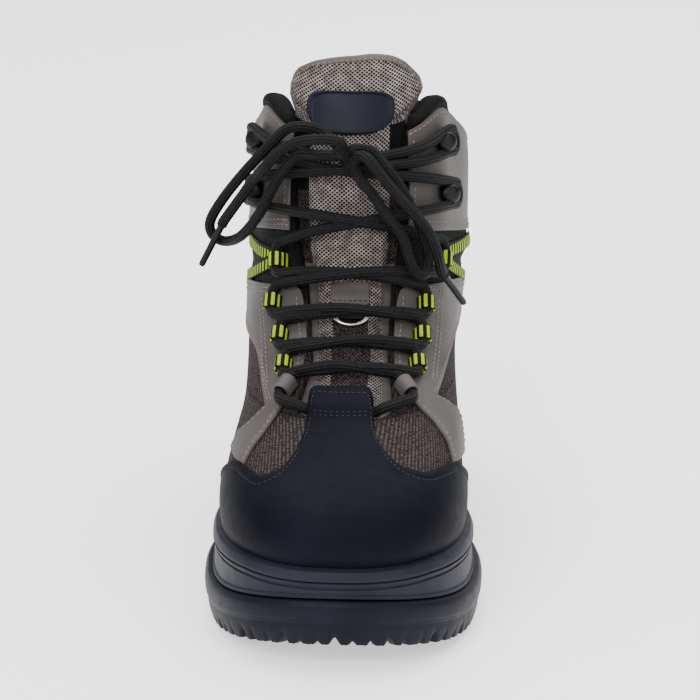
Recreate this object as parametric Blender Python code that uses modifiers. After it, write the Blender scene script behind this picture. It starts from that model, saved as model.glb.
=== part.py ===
"""A wading boot for the right foot: cup sole with lugs, lasted upper, tongue, lace.

The boot stands on its sole. The toe points to -Y, the big-toe (medial) side to +X.
The origin is on the floor, under the middle of the heel. Sizes are in metres.
"""
from math import cos, pi, radians, sin

import bmesh
import bpy
import numpy as np
from mathutils import Matrix, Vector

# Driving sizes of the whole boot
LENGTH = 0.308
HEEL_REACH = 0.045
UPPER_WIDTH = 0.103
SHAFT_WIDTH = 0.100
FEATHER_HEIGHT = 0.044
UPPER_RISE = 0.146
TONGUE_RISE = 0.033
TONGUE_LEAN = 0.0135
TONGUE_FOOT = 0.395

# Sole
LUG_HEIGHT = 0.0050
LUG_BAND = 0.0105
CUP_BAND = 0.0090
WELT_HEIGHT = 0.0055
TOE_SPRING = 0.0130
HEEL_BEVEL = 0.0030
SPRING_START = 0.225
BEVEL_END = 0.018
CUP_REACH = 0.0095
MIDSOLE_REACH = 0.0055
WELT_REACH = 0.0060
EDGE_LUGS = 32
LUG_SHARE = 0.80
INSOLE_THICKNESS = 0.0040
# Inner lugs. Rows start FOREFOOT_START from the back, FOREFOOT_PITCH apart, in shares of LENGTH;
# widths are shares of UPPER_WIDTH, depths and places are shares of LENGTH.
FOREFOOT_START = 0.5325
FOREFOOT_PITCH = 0.0763
FOREFOOT_ROWS = 5
SIDE_LUG = (0.145, 0.039)
MIDDLE_LUG = (0.117, 0.042)
HEEL_LUG_COLUMNS = ("place", "width", "depth")
HEEL_LUGS = ((0.0, 0.29, 0.029), (0.055, 0.23, 0.029), (-0.055, 0.25, 0.029))

# Walls and clearances
WALL = 0.0030
GAP = 0.0003
OVERLAY = 0.0014
TOE_CAP = 0.0018
PADDING = 0.0070
TONGUE_THICKNESS = 0.0065
WEBBING = 0.0012

# Lace and what holds it
LACE = 0.0048
LOOP_WIDTH = 0.0064
TUNNEL_LENGTH = 0.0082
LACE_BEND = 0.0045
HOOK_HEAD = 0.0094
HOOK_STEM = 0.0042
HOOK_BASE = 0.0100
HOOK_HEIGHT = 0.0100
RING_WIRE = 0.0016
RING_WIDTH = 0.0156
AGLET = 0.0032
AGLET_LENGTH = 0.0220

# Fineness of the faceted forms
TURNS = 24
SOLE_TURNS = 32
SLICES = (0.0, 0.080, 0.170, 0.265, 0.360, 0.455, 0.540, 0.615, 0.685, 0.765, 0.865, 0.972)

# The last: one row a slice, from the feather line (0) to the collar (1).
# front and back are shares of LENGTH, the rises are shares of UPPER_RISE,
# heel and middle are shares of SHAFT_WIDTH, ball is a share of UPPER_WIDTH,
# the caps are the shares of a slice that its round ends take.
LAST_COLUMNS = (
    "front", "front_rise", "back", "back_rise", "heel", "middle", "ball",
    "back_cap", "front_cap", "power", "dip", "rim")
LAST_ROWS = (
    (0.968, 0.000, 0.026, 0.000, 0.76, 0.800, 0.985, 0.15, 0.30, 2.55, 0.048, 0.00),
    (0.983, 0.048, 0.017, 0.055, 0.79, 0.840, 1.005, 0.16, 0.31, 2.55, 0.040, 0.00),
    (0.977, 0.106, 0.013, 0.110, 0.81, 0.870, 1.008, 0.17, 0.33, 2.50, 0.030, 0.00),
    (0.945, 0.161, 0.013, 0.158, 0.82, 0.900, 1.000, 0.18, 0.35, 2.40, 0.020, 0.00),
    (0.886, 0.212, 0.015, 0.200, 0.83, 0.920, 0.985, 0.19, 0.37, 2.30, 0.010, 0.00),
    (0.818, 0.257, 0.018, 0.240, 0.84, 0.935, 0.965, 0.21, 0.39, 2.20, 0.003, 0.00),
    (0.750, 0.305, 0.023, 0.281, 0.85, 0.945, 0.945, 0.23, 0.41, 2.15, 0.000, 0.00),
    (0.688, 0.353, 0.028, 0.322, 0.85, 0.955, 0.925, 0.25, 0.43, 2.10, 0.000, 0.00),
    (0.633, 0.414, 0.034, 0.370, 0.86, 0.965, 0.910, 0.28, 0.44, 2.10, 0.000, 0.00),
    (0.578, 0.493, 0.041, 0.428, 0.87, 0.975, 0.895, 0.31, 0.45, 2.10, 0.000, 0.00),
    (0.532, 0.589, 0.045, 0.500, 0.88, 0.985, 0.885, 0.34, 0.45, 2.10, 0.000, 0.00),
    (0.495, 0.699, 0.047, 0.592, 0.90, 0.990, 0.880, 0.37, 0.45, 2.15, 0.000, 0.05),
    (0.466, 0.815, 0.044, 0.699, 0.91, 0.990, 0.870, 0.39, 0.45, 2.20, 0.000, 0.25),
    (0.443, 0.918, 0.037, 0.815, 0.915, 0.985, 0.850, 0.40, 0.45, 2.20, 0.000, 0.60),
    (0.425, 1.000, 0.029, 0.945, 0.89, 0.965, 0.825, 0.40, 0.45, 2.20, 0.000, 1.00),
)
WIDTH_STATIONS = (0.0, 0.15, 0.45, 0.72, 1.0)
HEEL_POWER = 2.3
# Lift of the collar's rim, shares of UPPER_RISE, from the heel (0) to the front (1)
RIM_WAVE = (
    (0.00, 0.000), (0.15, -0.055), (0.42, -0.072), (0.62, 0.010),
    (0.78, 0.080), (0.90, 0.035), (1.00, 0.000))
# Sideways bend of the boot, shares of UPPER_WIDTH, against shares of LENGTH
BEND = (
    (0.0, -0.010), (0.2, -0.018), (0.4, -0.020), (0.6, -0.005),
    (0.75, 0.018), (0.9, 0.036), (1.0, 0.040))

# Outlines on the last. A place is (height, turn): the height is a share of the way from
# feather line to collar, the turn is in degrees from the toe's middle, lateral negative.
THROAT_COLUMNS = ("height", "lateral", "medial")
THROAT = (
    (0.408, -6, 8), (0.413, -14, 16), (0.426, -19, 21), (0.460, -20, 22.5),
    (0.510, -18, 23), (0.564, -15.5, 22), (0.630, -18, 23), (0.700, -21, 24.5),
    (0.750, -25, 27), (0.800, -28, 28.5), (0.860, -30, 30), (0.930, -30.5, 29.5),
    (0.985, -29.5, 30), (1.000, -29.5, 30))
CAP_EDGE = (
    (0.018, -77), (0.14, -66), (0.246, -51), (0.262, -43), (0.256, -37), (0.246, -28),
    (0.285, -18.5), (0.350, -14.8), (0.415, -14), (0.470, -14.3), (0.477, -12.5), (0.477, 10.5),
    (0.470, 12.5), (0.415, 12.5), (0.355, 13.3), (0.290, 20), (0.256, 30), (0.248, 43),
    (0.236, 51), (0.15, 66), (0.018, 76))
# How far the cap's free tab stands off at the throat, as (height, lift)
TAB_LIFT = ((0.390, 0.0), (0.408, 0.0008), (0.424, 0.0034), (0.450, 0.0042), (0.500, 0.0046))
COUNTER_EDGE = (
    (0.018, -88), (0.16, -82), (0.24, -72), (0.34, -55), (0.41, -35), (0.44, -15),
    (0.445, 0), (0.44, 15), (0.41, 35), (0.34, 55), (0.24, 72), (0.16, 82), (0.018, 88))
PANEL_FOOT = 0.016
# Each eyestay row runs from the throat's edge out to the panel's outer edge
EYESTAY_COLUMNS = ("inner_height", "inner_turn", "outer_height", "outer_turn")
EYESTAY_LATERAL = (
    (0.433, 25.5, 0.408, 36.0), (0.460, 23.5, 0.450, 41.0), (0.500, 21.0, 0.500, 46.0),
    (0.530, 18.8, 0.535, 51.0), (0.564, 16.3, 0.560, 60.0), (0.630, 18.8, 0.620, 62.0),
    (0.700, 22.0, 0.676, 62.0))
EYESTAY_MEDIAL = (
    (0.438, 29.5, 0.418, 46.0), (0.460, 25.5, 0.450, 53.0), (0.500, 24.2, 0.505, 63.0),
    (0.530, 23.7, 0.532, 71.0), (0.564, 22.9, 0.560, 78.0), (0.630, 24.0, 0.620, 80.0),
    (0.700, 25.5, 0.672, 80.0))
# The heel strap that each eyestay runs into, from its front end to the heel
HEEL_STRAP_COLUMNS = ("turn", "low", "high")
HEEL_STRAP_LATERAL = (
    (54.0, 0.545, 0.678), (83.0, 0.540, 0.655), (118.0, 0.528, 0.628), (150.0, 0.516, 0.612),
    (179.7, 0.507, 0.603))
HEEL_STRAP_MEDIAL = (
    (72.0, 0.538, 0.675), (97.0, 0.534, 0.655), (125.0, 0.524, 0.628), (150.0, 0.516, 0.612),
    (179.7, 0.507, 0.603))
STRAP_LATERAL = (
    (0.428, 25.5, 0.402, 36.5), (0.361, 32.5, 0.350, 46.0), (0.304, 38.0, 0.300, 55.0),
    (0.268, 40.0, 0.256, 59.0))
STRAP_MEDIAL = (
    (0.434, 30.0, 0.412, 46.5), (0.368, 41.0, 0.370, 57.0), (0.300, 47.5, 0.310, 66.0),
    (0.254, 49.0, 0.232, 68.0))
CUFF_COLUMNS = ("turn", "low", "high")
CUFF = (
    (30.8, 0.790, 0.962), (36.0, 0.790, 0.966), (60.0, 0.781, 0.968), (90.0, 0.766, 0.968),
    (130.0, 0.762, 0.968), (180.0, 0.762, 0.968))
WEBBING_TURNS_LATERAL = (36.0, 91.0)
WEBBING_TURNS_MEDIAL = (52.0, 97.0)
WEBBING_HEIGHTS = (0.741, 0.741, 0.682)

# Where the lace is held: (height, lateral turn, medial turn)
LOOP_PLACES = ((0.513, -27.5, 34.5), (0.581, -31.0, 37.5), (0.648, -37.0, 40.0))
TUNNEL_PLACE = (0.459, -25.2, 27.4)
TUNNEL_SLANT = 22.0
ANKLE_PLACE = (0.732, -35.5, 51.5)
HOOK_PLACES = ((0.842, -60.0, 58.0), (0.925, -62.0, 55.5))
BADGE_PLACE = (1.30, 0.0)
BADGE_HALF = (0.0197, 0.0100)
TAB_HEIGHTS = (0.6405, 0.706)

# The lace: heights of its centre line over the last, in lace diameters
LACE_LIFT = 1.0
BAR_UNDER_TAB = ((0.431, 0.0, -0.14), (0.431, 9.0, -0.12), (0.430, 12.5, -0.06), (0.425, 17.5, 0.62))
FIRST_OVER = (1.18, 1.45, 1.24)
SECOND_OVER = (1.24, 1.80, 1.35)
SHAFT_OVER = (1.34, 1.60, 1.36)
KNOT_PLACE = (0.925, 1.0, 2.3)
KNOT_HALF = (0.0086, 0.0056, 0.0052)
# The tab and its fold round the ring: (share of the tab's height, thickness, half turn)
TAB_FOLD = (
    (0.0, 0.0024, 5.6), (0.05, 0.0034, 5.8), (0.24, 0.0034, 5.8), (0.40, 0.0016, 9.0),
    (1.0, 0.0012, 9.2))
BAR_SHARE = 0.13

# The bow: side is a share of UPPER_WIDTH, reach of LENGTH, rise of UPPER_RISE
BOW_COLUMNS = ("side", "reach", "rise")
BOW_LOOP_LATERAL = (
    (-0.133, 0.461, 1.011), (-0.185, 0.458, 1.022), (-0.243, 0.453, 1.021), (-0.301, 0.447, 1.004),
    (-0.406, 0.433, 0.925), (-0.513, 0.420, 0.836), (-0.596, 0.406, 0.755), (-0.644, 0.399, 0.690),
    (-0.630, 0.399, 0.648), (-0.573, 0.401, 0.631), (-0.491, 0.437, 0.670), (-0.407, 0.464, 0.752),
    (-0.355, 0.468, 0.825), (-0.296, 0.468, 0.896), (-0.226, 0.473, 0.942), (-0.150, 0.490, 0.950))
BOW_LOOP_MEDIAL = (
    (0.034, 0.498, 0.884), (0.082, 0.503, 0.848), (0.153, 0.513, 0.782), (0.223, 0.519, 0.719),
    (0.255, 0.530, 0.657), (0.282, 0.534, 0.616), (0.323, 0.525, 0.605), (0.336, 0.506, 0.645),
    (0.319, 0.497, 0.696), (0.287, 0.494, 0.757), (0.218, 0.491, 0.848), (0.147, 0.485, 0.915),
    (0.086, 0.478, 0.961))
LACE_END_LATERAL = (
    (-0.062, 0.500, 1.000), (-0.150, 0.497, 1.002), (-0.244, 0.484, 0.985), (-0.318, 0.480, 0.951),
    (-0.375, 0.477, 0.907), (-0.433, 0.453, 0.853), (-0.502, 0.438, 0.782), (-0.571, 0.425, 0.711))
LACE_END_MEDIAL = (
    (0.068, 0.507, 0.952), (0.144, 0.513, 0.890), (0.231, 0.518, 0.821), (0.326, 0.520, 0.744),
    (0.374, 0.525, 0.672), (0.393, 0.501, 0.599))
TIP_LATERAL = (-0.683, 0.411, 0.555)
TIP_MEDIAL = (0.476, 0.457, 0.487)

COLLECTION = bpy.data.collections.new("wading_boot")
CUTTERS = bpy.data.collections.new("cutters")


def clear_scene():
    for item in list(bpy.data.objects):
        bpy.data.objects.remove(item, do_unlink=True)
    for group in (COLLECTION, CUTTERS):
        bpy.context.scene.collection.children.link(group)


def material(name, color, roughness, metallic=0.0):
    made = bpy.data.materials.new(name)
    made.use_nodes = True
    shader = made.node_tree.nodes["Principled BSDF"]
    shader.inputs["Base Color"].default_value = (*color, 1.0)
    shader.inputs["Roughness"].default_value = roughness
    shader.inputs["Metallic"].default_value = metallic
    return made


# The last as a surface

def smooth(table, place):
    """A smooth curve through a table's rows; place counts rows from 0."""
    table = np.asarray(table, float)
    place = np.clip(np.asarray(place, float), 0, len(table) - 1)
    row = np.minimum(place.astype(int), len(table) - 2)
    step = (place - row)[..., None]
    here, after = table[row], table[row + 1]
    first = (row == 0)[..., None]
    final = (row == len(table) - 2)[..., None]
    before = np.where(first, 2 * here - after, table[np.maximum(row - 1, 0)])
    beyond = np.where(final, 2 * after - here, table[np.minimum(row + 2, len(table) - 1)])
    slope = after - before
    bend = 2 * before - 5 * here + 4 * after - beyond
    twist = 3 * here - before - 3 * after + beyond
    return here + 0.5 * (slope * step + bend * step**2 + twist * step**3)


def along(table, key):
    """The smooth value at key in a short table of (key, value) rows."""
    table = np.asarray(table, float)
    place = np.interp(key, table[:, 0], np.arange(len(table)))
    return smooth(table[:, 1:2], place)[..., 0]


def superellipse(share, power):
    return np.maximum(0, 1 - np.abs(share) ** power) ** (1 / power)


def eased(share):
    share = np.clip(share, 0, 1)
    return share * share * (3 - 2 * share)


def last(height, turn):
    """Points of the last: height 0 to 1, turn in degrees from the toe's middle."""
    height, turn = np.broadcast_arrays(np.asarray(height, float), np.asarray(turn, float))
    angle = np.radians(180 + turn)
    row = smooth(LAST_ROWS, height * (len(LAST_ROWS) - 1))
    part = dict(zip(LAST_COLUMNS, np.moveaxis(row, -1, 0)))
    way = (1 - np.cos(angle)) / 2
    reach = LENGTH * (part["back"] + (part["front"] - part["back"]) * way)
    heel = part["heel"] * SHAFT_WIDTH / 2
    middle = part["middle"] * SHAFT_WIDTH / 2
    ball = part["ball"] * UPPER_WIDTH / 2
    widths = np.stack([heel, heel, middle, ball, ball], -1)
    place = np.interp(way, WIDTH_STATIONS, np.arange(len(WIDTH_STATIONS)))
    index = np.minimum(place.astype(int), len(WIDTH_STATIONS) - 2)[..., None]
    low = np.take_along_axis(widths, index, -1)[..., 0]
    high = np.take_along_axis(widths, index + 1, -1)[..., 0]
    half = low + (high - low) * eased(place - index[..., 0])
    back_cap, front_cap = part["back_cap"], part["front_cap"]
    half = half * np.where(way < back_cap, superellipse(1 - way / back_cap, HEEL_POWER), 1)
    front_share = (way - 1 + front_cap) / front_cap
    half = half * np.where(front_share > 0, superellipse(front_share, part["power"]), 1)
    x = UPPER_WIDTH * along(BEND, reach / LENGTH) + np.where(np.sin(angle) >= 0, -1, 1) * half
    dip = part["dip"] * np.sin(pi * np.clip((way - 0.05) / 0.9, 0, 1))
    rise = part["back_rise"] + (part["front_rise"] - part["back_rise"]) * way - dip
    rise = rise + part["rim"] * along(RIM_WAVE, way)
    return np.stack([x, HEEL_REACH - reach, FEATHER_HEIGHT + UPPER_RISE * rise], -1)


def unit(vector):
    return vector / np.maximum(np.linalg.norm(vector, axis=-1, keepdims=True), 1e-12)


def frame_at(height, turn):
    """Upward, sideways (medial at the front) and outward directions on the last."""
    height, turn = np.broadcast_arrays(np.asarray(height, float), np.asarray(turn, float))
    upward = unit(last(np.minimum(height + 0.004, 1), turn) - last(np.maximum(height - 0.004, 0), turn))
    sideways = unit(last(height, turn + 2.0) - last(height, turn - 2.0))
    outward = unit(np.cross(sideways, upward))
    return upward, sideways, outward


def surface(height, turn, lift):
    """A point over the last; above the collar it follows the tongue's lean."""
    height, turn = np.broadcast_arrays(np.asarray(height, float), np.asarray(turn, float))
    clipped = np.clip(height, 0, 1)
    outward = frame_at(clipped, turn)[2]
    beyond = np.maximum(height - 1, 0)[..., None]
    climb = np.array([0.0, TONGUE_LEAN, TONGUE_RISE])
    return last(clipped, turn) + np.asarray(lift, float)[..., None] * outward + beyond * climb


# Meshes

def finish(mesh_data, name, paint, collection=None):
    bmesh.ops.recalc_face_normals(mesh_data, faces=mesh_data.faces)
    mesh = bpy.data.meshes.new(name)
    mesh_data.to_mesh(mesh)
    mesh_data.free()
    made = bpy.data.objects.new(name, mesh)
    if paint:
        mesh.materials.append(paint)
        mesh.shade_smooth()
        mesh.set_sharp_from_angle(angle=radians(35))
    (collection or COLLECTION).objects.link(made)
    return made


def helper(made):
    made.hide_render = True
    made.display_type = "WIRE"
    return made


def skin(mesh_data, rows, closed):
    """Triangles over a grid of vertices, always along the same diagonal."""
    count = len(rows[0])
    for low, high in zip(rows, rows[1:]):
        for i in range(count if closed else count - 1):
            j = (i + 1) % count
            mesh_data.faces.new((low[i], low[j], high[j]))
            mesh_data.faces.new((low[i], high[j], high[i]))


def shell(name, outer, inner, closed, paint, collection=None):
    """A closed wall between two grids of points with the same rows and columns."""
    mesh_data = bmesh.new()
    outside = [[mesh_data.verts.new(point) for point in row] for row in outer]
    inside = [[mesh_data.verts.new(point) for point in row] for row in inner]
    skin(mesh_data, outside, closed)
    skin(mesh_data, inside, closed)
    skin(mesh_data, [inside[0], outside[0]], closed)
    skin(mesh_data, [outside[-1], inside[-1]], closed)
    if not closed:
        skin(mesh_data, [[row[0] for row in outside], [row[0] for row in inside]], False)
        skin(mesh_data, [[row[-1] for row in inside], [row[-1] for row in outside]], False)
    return finish(mesh_data, name, paint, collection)


def ring_shell(name, rows, paint):
    """A wall all round the last, one row each of (height, outer lift, inner lift)."""
    turns = np.arange(TURNS) * 360 / TURNS
    rows = np.asarray(rows, float)
    heights = rows[:, :1] + 0 * turns
    outer = surface(heights, turns, rows[:, 1:2] + 0 * turns)
    inner = surface(heights, turns, rows[:, 2:3] + 0 * turns)
    return shell(name, outer, inner, True, paint)


def last_rows(low, high, outer, inner):
    """The upper's own slices that enclose two heights, at constant lifts."""
    first = max(i for i, height in enumerate(SLICES) if height <= low + 1e-9)
    final = min(i for i, height in enumerate(SLICES) if height >= high - 1e-9)
    return [(height, outer, inner) for height in SLICES[first:final + 1]]


def region(name, first_edge, second_edge, across=6, samples=None, depth=-0.0045, reach=0.0080):
    """A thick cutter over the last between two edges of (height, turn) places."""
    first = np.asarray(first_edge, float)
    second = np.asarray(second_edge, float)
    if samples:
        place = np.linspace(0, len(first) - 1, samples)
        first, second = smooth(first, place), smooth(second, place)
    share = np.linspace(0, 1, across + 1)[:, None, None]
    grid = first + (second - first) * share
    outer = surface(grid[..., 0], grid[..., 1], reach + 0 * grid[..., 0])
    inner = surface(grid[..., 0], grid[..., 1], depth + 0 * grid[..., 0])
    return helper(shell(name, outer, inner, False, None, CUTTERS))


def combine(target, other, operation, name=None):
    change = target.modifiers.new(name or other.name, "BOOLEAN")
    change.operation = operation
    change.object = other
    change.solver = "EXACT"
    return target


def overlay(name, cutter, paint, thickness=OVERLAY, low=0.0, high=SLICES[-1]):
    rows = last_rows(low, high, GAP + thickness, GAP)
    return combine(ring_shell(name, rows, paint), cutter, "INTERSECT")


# Sole

def sole_floor(y):
    """Height of the lugs' tips over the floor: flat, but for toe spring and heel bevel."""
    reach = HEEL_REACH - y
    toe = np.clip((reach - SPRING_START) / (LENGTH - SPRING_START), 0, 1)
    heel = np.clip((BEVEL_END - reach) / BEVEL_END, 0, 1)
    return TOE_SPRING * toe**2 + HEEL_BEVEL * heel**2


def sole_ring(reach, height, from_top=False, turns=SOLE_TURNS):
    """The feather line moved out by reach, at a height over the floor line or the top."""
    angle = np.arange(turns) * 360 / turns
    base = last(0.0, angle)
    tangent = last(0.0, angle + 1.5) - last(0.0, angle - 1.5)
    out = unit(np.stack([-tangent[:, 1], tangent[:, 0], 0 * angle], -1)) * -1
    ring = base + out * reach
    level = base[:, 2] if from_top else sole_floor(ring[:, 1])
    ring[:, 2] = level + height
    return ring


def loft(name, rings, paint, collection=None):
    """A closed stack of rings; each cap joins the ring's two sides in strips."""
    mesh_data = bmesh.new()
    rows = [[mesh_data.verts.new(point) for point in ring] for ring in rings]
    skin(mesh_data, rows, True)
    count = len(rings[0])
    for row, turned in ((rows[0], True), (rows[-1], False)):
        for i in range(count // 2):
            corners = [row[i], row[i + 1], row[(count - i - 1) % count], row[(count - i) % count]]
            corners = list(dict.fromkeys(corners))
            mesh_data.faces.new(corners[::-1] if turned else corners)
    bmesh.ops.triangulate(mesh_data, faces=[face for face in mesh_data.faces if len(face.verts) > 3])
    return finish(mesh_data, name, paint, collection)


def lug(mesh_data, x, y, size, heading):
    """One lug: a block with a narrower tip, its root inside the sole's plate."""
    floor = float(sole_floor(y))
    height = LUG_HEIGHT + 0.0015
    place = Matrix.Translation((x, y, floor + height / 2)) @ Matrix.Rotation(heading, 4, "Z")
    made = bmesh.ops.create_cube(mesh_data, size=1.0)
    for corner in made["verts"]:
        tip = 0.86 if corner.co.z < 0 else 1.0
        corner.co = place @ Vector((
            corner.co.x * size[0] * tip, corner.co.y * size[1] * tip, corner.co.z * height))


def build_outsole(rubber):
    reach = CUP_REACH
    base, cup = LUG_BAND, LUG_BAND + CUP_BAND
    profile = (
        (reach - 0.0035, LUG_HEIGHT), (reach - 0.0018, base - 0.0010), (reach - 0.0018, base),
        (reach - 0.0003, base + 0.0014), (reach, base + 0.45 * CUP_BAND),
        (reach - 0.0008, cup - 0.0016), (reach - 0.0028, cup))
    outsole = loft("outsole", [sole_ring(out, up) for out, up in profile], rubber)
    lugs = bmesh.new()
    ring = sole_ring(reach - 0.0082, 0.0, turns=720)
    length = np.concatenate([[0], np.cumsum(np.linalg.norm(np.diff(ring, axis=0), axis=1))])
    pitch = (length[-1] + np.linalg.norm(ring[0] - ring[-1])) / EDGE_LUGS
    for k in range(EDGE_LUGS):
        index = int(np.searchsorted(length, (k + 0.5) * pitch)) % len(ring)
        ahead = ring[(index + 3) % len(ring)] - ring[index - 3]
        heading = float(np.arctan2(ahead[1], ahead[0]))
        depth = 0.0096 if k % 2 else 0.0078
        lug(lugs, float(ring[index][0]), float(ring[index][1]), (pitch * LUG_SHARE, depth), heading)
    for share, width, deep in HEEL_LUGS:
        lug(lugs, 0.0, share * LENGTH, (width * UPPER_WIDTH, deep * LENGTH), 0.0)
    for row in range(FOREFOOT_ROWS):
        y = HEEL_REACH - (FOREFOOT_START + row * FOREFOOT_PITCH) * LENGTH
        span = (0.19 + 0.039 * sin(pi * (row + 1) / (FOREFOOT_ROWS + 1))) * UPPER_WIDTH
        for side in (-1, 0, 1):
            size = SIDE_LUG if side else MIDDLE_LUG
            lug(lugs, 0.005 * row * UPPER_WIDTH + side * span, y + 0.013 * LENGTH * abs(side),
                (size[0] * UPPER_WIDTH, size[1] * LENGTH), side * 0.35)
    tread = helper(finish(lugs, "lug_blocks", None, CUTTERS))
    return combine(outsole, tread, "UNION")


def build_midsole(foam):
    low = LUG_BAND + CUP_BAND + GAP
    high = -WELT_HEIGHT - GAP
    rings = [
        sole_ring(MIDSOLE_REACH + 0.0006, low), sole_ring(MIDSOLE_REACH, low + 0.0012),
        sole_ring(MIDSOLE_REACH - 0.0004, high - 0.0012, True), sole_ring(MIDSOLE_REACH, high, True)]
    return loft("midsole", rings, foam)


def build_welt(rubber):
    rings = [
        sole_ring(WELT_REACH - 0.0014, -WELT_HEIGHT, True),
        sole_ring(WELT_REACH, -WELT_HEIGHT + 0.0012, True),
        sole_ring(WELT_REACH - 0.0006, -0.0016, True),
        sole_ring(WELT_REACH - 0.0022, -GAP, True)]
    return loft("welt", rings, rubber)


def build_insole(foam):
    rings = [
        sole_ring(-WALL - 0.0022, GAP, True), sole_ring(-WALL - 0.0018, GAP + 0.0012, True),
        sole_ring(-WALL - 0.0022, INSOLE_THICKNESS, True)]
    return loft("insole", rings, foam)


# Upper

def throat_region(name, widen=0.0, low=None, depth=-0.0180, reach=0.0100):
    rows = np.asarray(THROAT, float)
    if low is not None:
        rows = rows[rows[:, 0] >= low]
    top = rows[-1].copy()
    top[0] = 1.35
    rows = np.vstack([rows, top])
    lateral = np.column_stack([rows[:, 0], rows[:, 1] - widen])
    medial = np.column_stack([rows[:, 0], rows[:, 2] + widen])
    return region(name, lateral, medial, across=8, depth=depth, reach=reach)


def build_upper(mesh_cloth, throat):
    upper = ring_shell("upper", last_rows(0.0, SLICES[-1], 0.0, -WALL), mesh_cloth)
    return combine(upper, throat, "DIFFERENCE")


def build_lining(cloth, throat):
    """The padded lining: inside the collar, and rolled out over its rim."""
    inside = -WALL - GAP
    ledge = SLICES[-1] + 0.0020
    rows = (
        (0.820, inside, inside - 0.30 * PADDING),
        (0.890, inside, inside - 0.95 * PADDING),
        (ledge, inside, inside - PADDING),
        (ledge + 0.0020, 0.0004, inside - PADDING),
        (0.9900, 0.0009, inside - 0.98 * PADDING),
        (0.9990, -0.0006, inside - 0.80 * PADDING))
    lining = ring_shell("collar_lining", rows, cloth)
    room = throat_region("tongue_room", widen=10.0, low=0.75, reach=-WALL + 0.0004)
    combine(lining, throat, "DIFFERENCE")
    return combine(lining, room, "DIFFERENCE")


def build_toe_cap(rubber):
    edge = np.asarray(CAP_EDGE, float)
    turns = np.linspace(edge[0, 1], edge[-1, 1], len(edge))
    foot = np.column_stack([np.full(len(edge), PANEL_FOOT), turns])
    cutter = region("cap_region", foot, edge, across=8, reach=0.0100)
    rows = last_rows(0.0, 0.34, GAP + TOE_CAP, GAP)
    rows += [(height, GAP + TOE_CAP + lift, GAP + lift) for height, lift in TAB_LIFT]
    return combine(ring_shell("toe_cap", rows, rubber), cutter, "INTERSECT")


def build_counter(leather):
    edge = np.asarray(COUNTER_EDGE, float)
    edge[:, 1] += 180
    foot = np.column_stack([np.full(len(edge), PANEL_FOOT), edge[:, 1]])
    cutter = region("counter_region", foot, edge, across=4)
    return overlay("heel_counter", cutter, leather, low=0.0, high=0.45)


def side_region(name, rows, side, across=5, samples=None, **sizes):
    rows = np.asarray(rows, float)
    inner = np.column_stack([rows[:, 0], side * rows[:, 1]])
    outer = np.column_stack([rows[:, 2], side * rows[:, 3]])
    return region(name, inner, outer, across=across, samples=samples, **sizes)


def build_eyestay(side, sign, stay, strap, leather):
    """An eyestay with its heel strap, cut from one layer."""
    cutter = side_region(f"eyestay_region_{side}", stay, sign, across=6)
    strap = np.asarray(strap, float)
    low = np.column_stack([strap[:, 1], sign * strap[:, 0]])
    high = np.column_stack([strap[:, 2], sign * strap[:, 0]])
    rear = region(f"heel_strap_region_{side}", low, high, across=2, samples=9,
                  depth=-0.0036, reach=0.0066)
    combine(cutter, rear, "UNION")
    return overlay(f"eyestay_{side}", cutter, leather, low=0.38, high=0.74)


def build_cuff(leather):
    rows = np.asarray(CUFF, float)
    both = np.vstack([rows, rows[-2::-1]])
    turns = np.concatenate([rows[:, 0], 360 - rows[-2::-1, 0]])
    low = np.column_stack([both[:, 1], turns])
    high = np.column_stack([both[:, 2], turns])
    cutter = region("cuff_region", low, high, across=1, samples=15)
    return overlay("cuff", cutter, leather, low=0.75)


# Tongue

def throat_edges(height):
    """Turns of the throat's middle and of its half width at a height."""
    rows = np.asarray(THROAT, float)
    lateral = np.interp(height, rows[:, 0], rows[:, 1])
    medial = np.interp(height, rows[:, 0], rows[:, 2])
    return (lateral + medial) / 2, (medial - lateral) / 2


def tongue_half_turn(height):
    """Half the tongue's width in degrees; its free end is rounded."""
    width = np.interp(height, (0.43, 0.50, 0.62, 0.80, 1.0), (24.0, 25.0, 28.0, 36.0, 37.0))
    end = np.clip((height - 1.30) / 0.70, 0, 1)
    return width * (0.34 + 0.66 * superellipse(end, 2.2))


def tongue_lift(height, share):
    """Lift of the tongue's face: under the eyestays, and fuller in the throat."""
    under = -WALL - GAP - 0.0005
    full = np.interp(
        height, (TONGUE_FOOT, 0.47, 0.56, 0.97, 1.05, 2.0),
        (0.0, 0.0006, 0.0034, 0.0034, 0.0030, 0.0010))
    throat = throat_edges(height)[1] - 2.8
    free = 0.95 * tongue_half_turn(height)
    room = throat + (free - throat) * np.interp(height, (1.06, 1.30), (0.0, 1.0))
    off = np.abs(share) * tongue_half_turn(height)
    return under + full * eased((room - off) / 9.0)


def tongue_surface(height, share, lift=0.0):
    """A point over the tongue's face: share -1 to 1 across it."""
    height, share = np.broadcast_arrays(np.asarray(height, float), np.asarray(share, float))
    turn = throat_edges(height)[0] + share * tongue_half_turn(height)
    return surface(height, turn, tongue_lift(height, share) + lift)


def build_tongue(cloth):
    inside = (height for height in SLICES if height > 0.42)
    heights = (TONGUE_FOOT, *inside, 1.06, 1.30, 1.60, 1.82, 1.94, 2.0)
    shares = np.array((-1.0, -0.84, -0.62, -0.36, 0.0, 0.36, 0.62, 0.84, 1.0))
    heights = np.array(heights)[:, None]
    thin = 0.30 + 0.70 * superellipse(shares, 2.6)
    end = np.interp(heights, (0.48, 0.56, 1.80, 2.0), (0.35, 0.75, 1.0, 0.45))
    outer = tongue_surface(heights, shares)
    inner = tongue_surface(heights, shares, -TONGUE_THICKNESS * thin * end)
    return shell("tongue", outer, inner, False, cloth)


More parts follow.
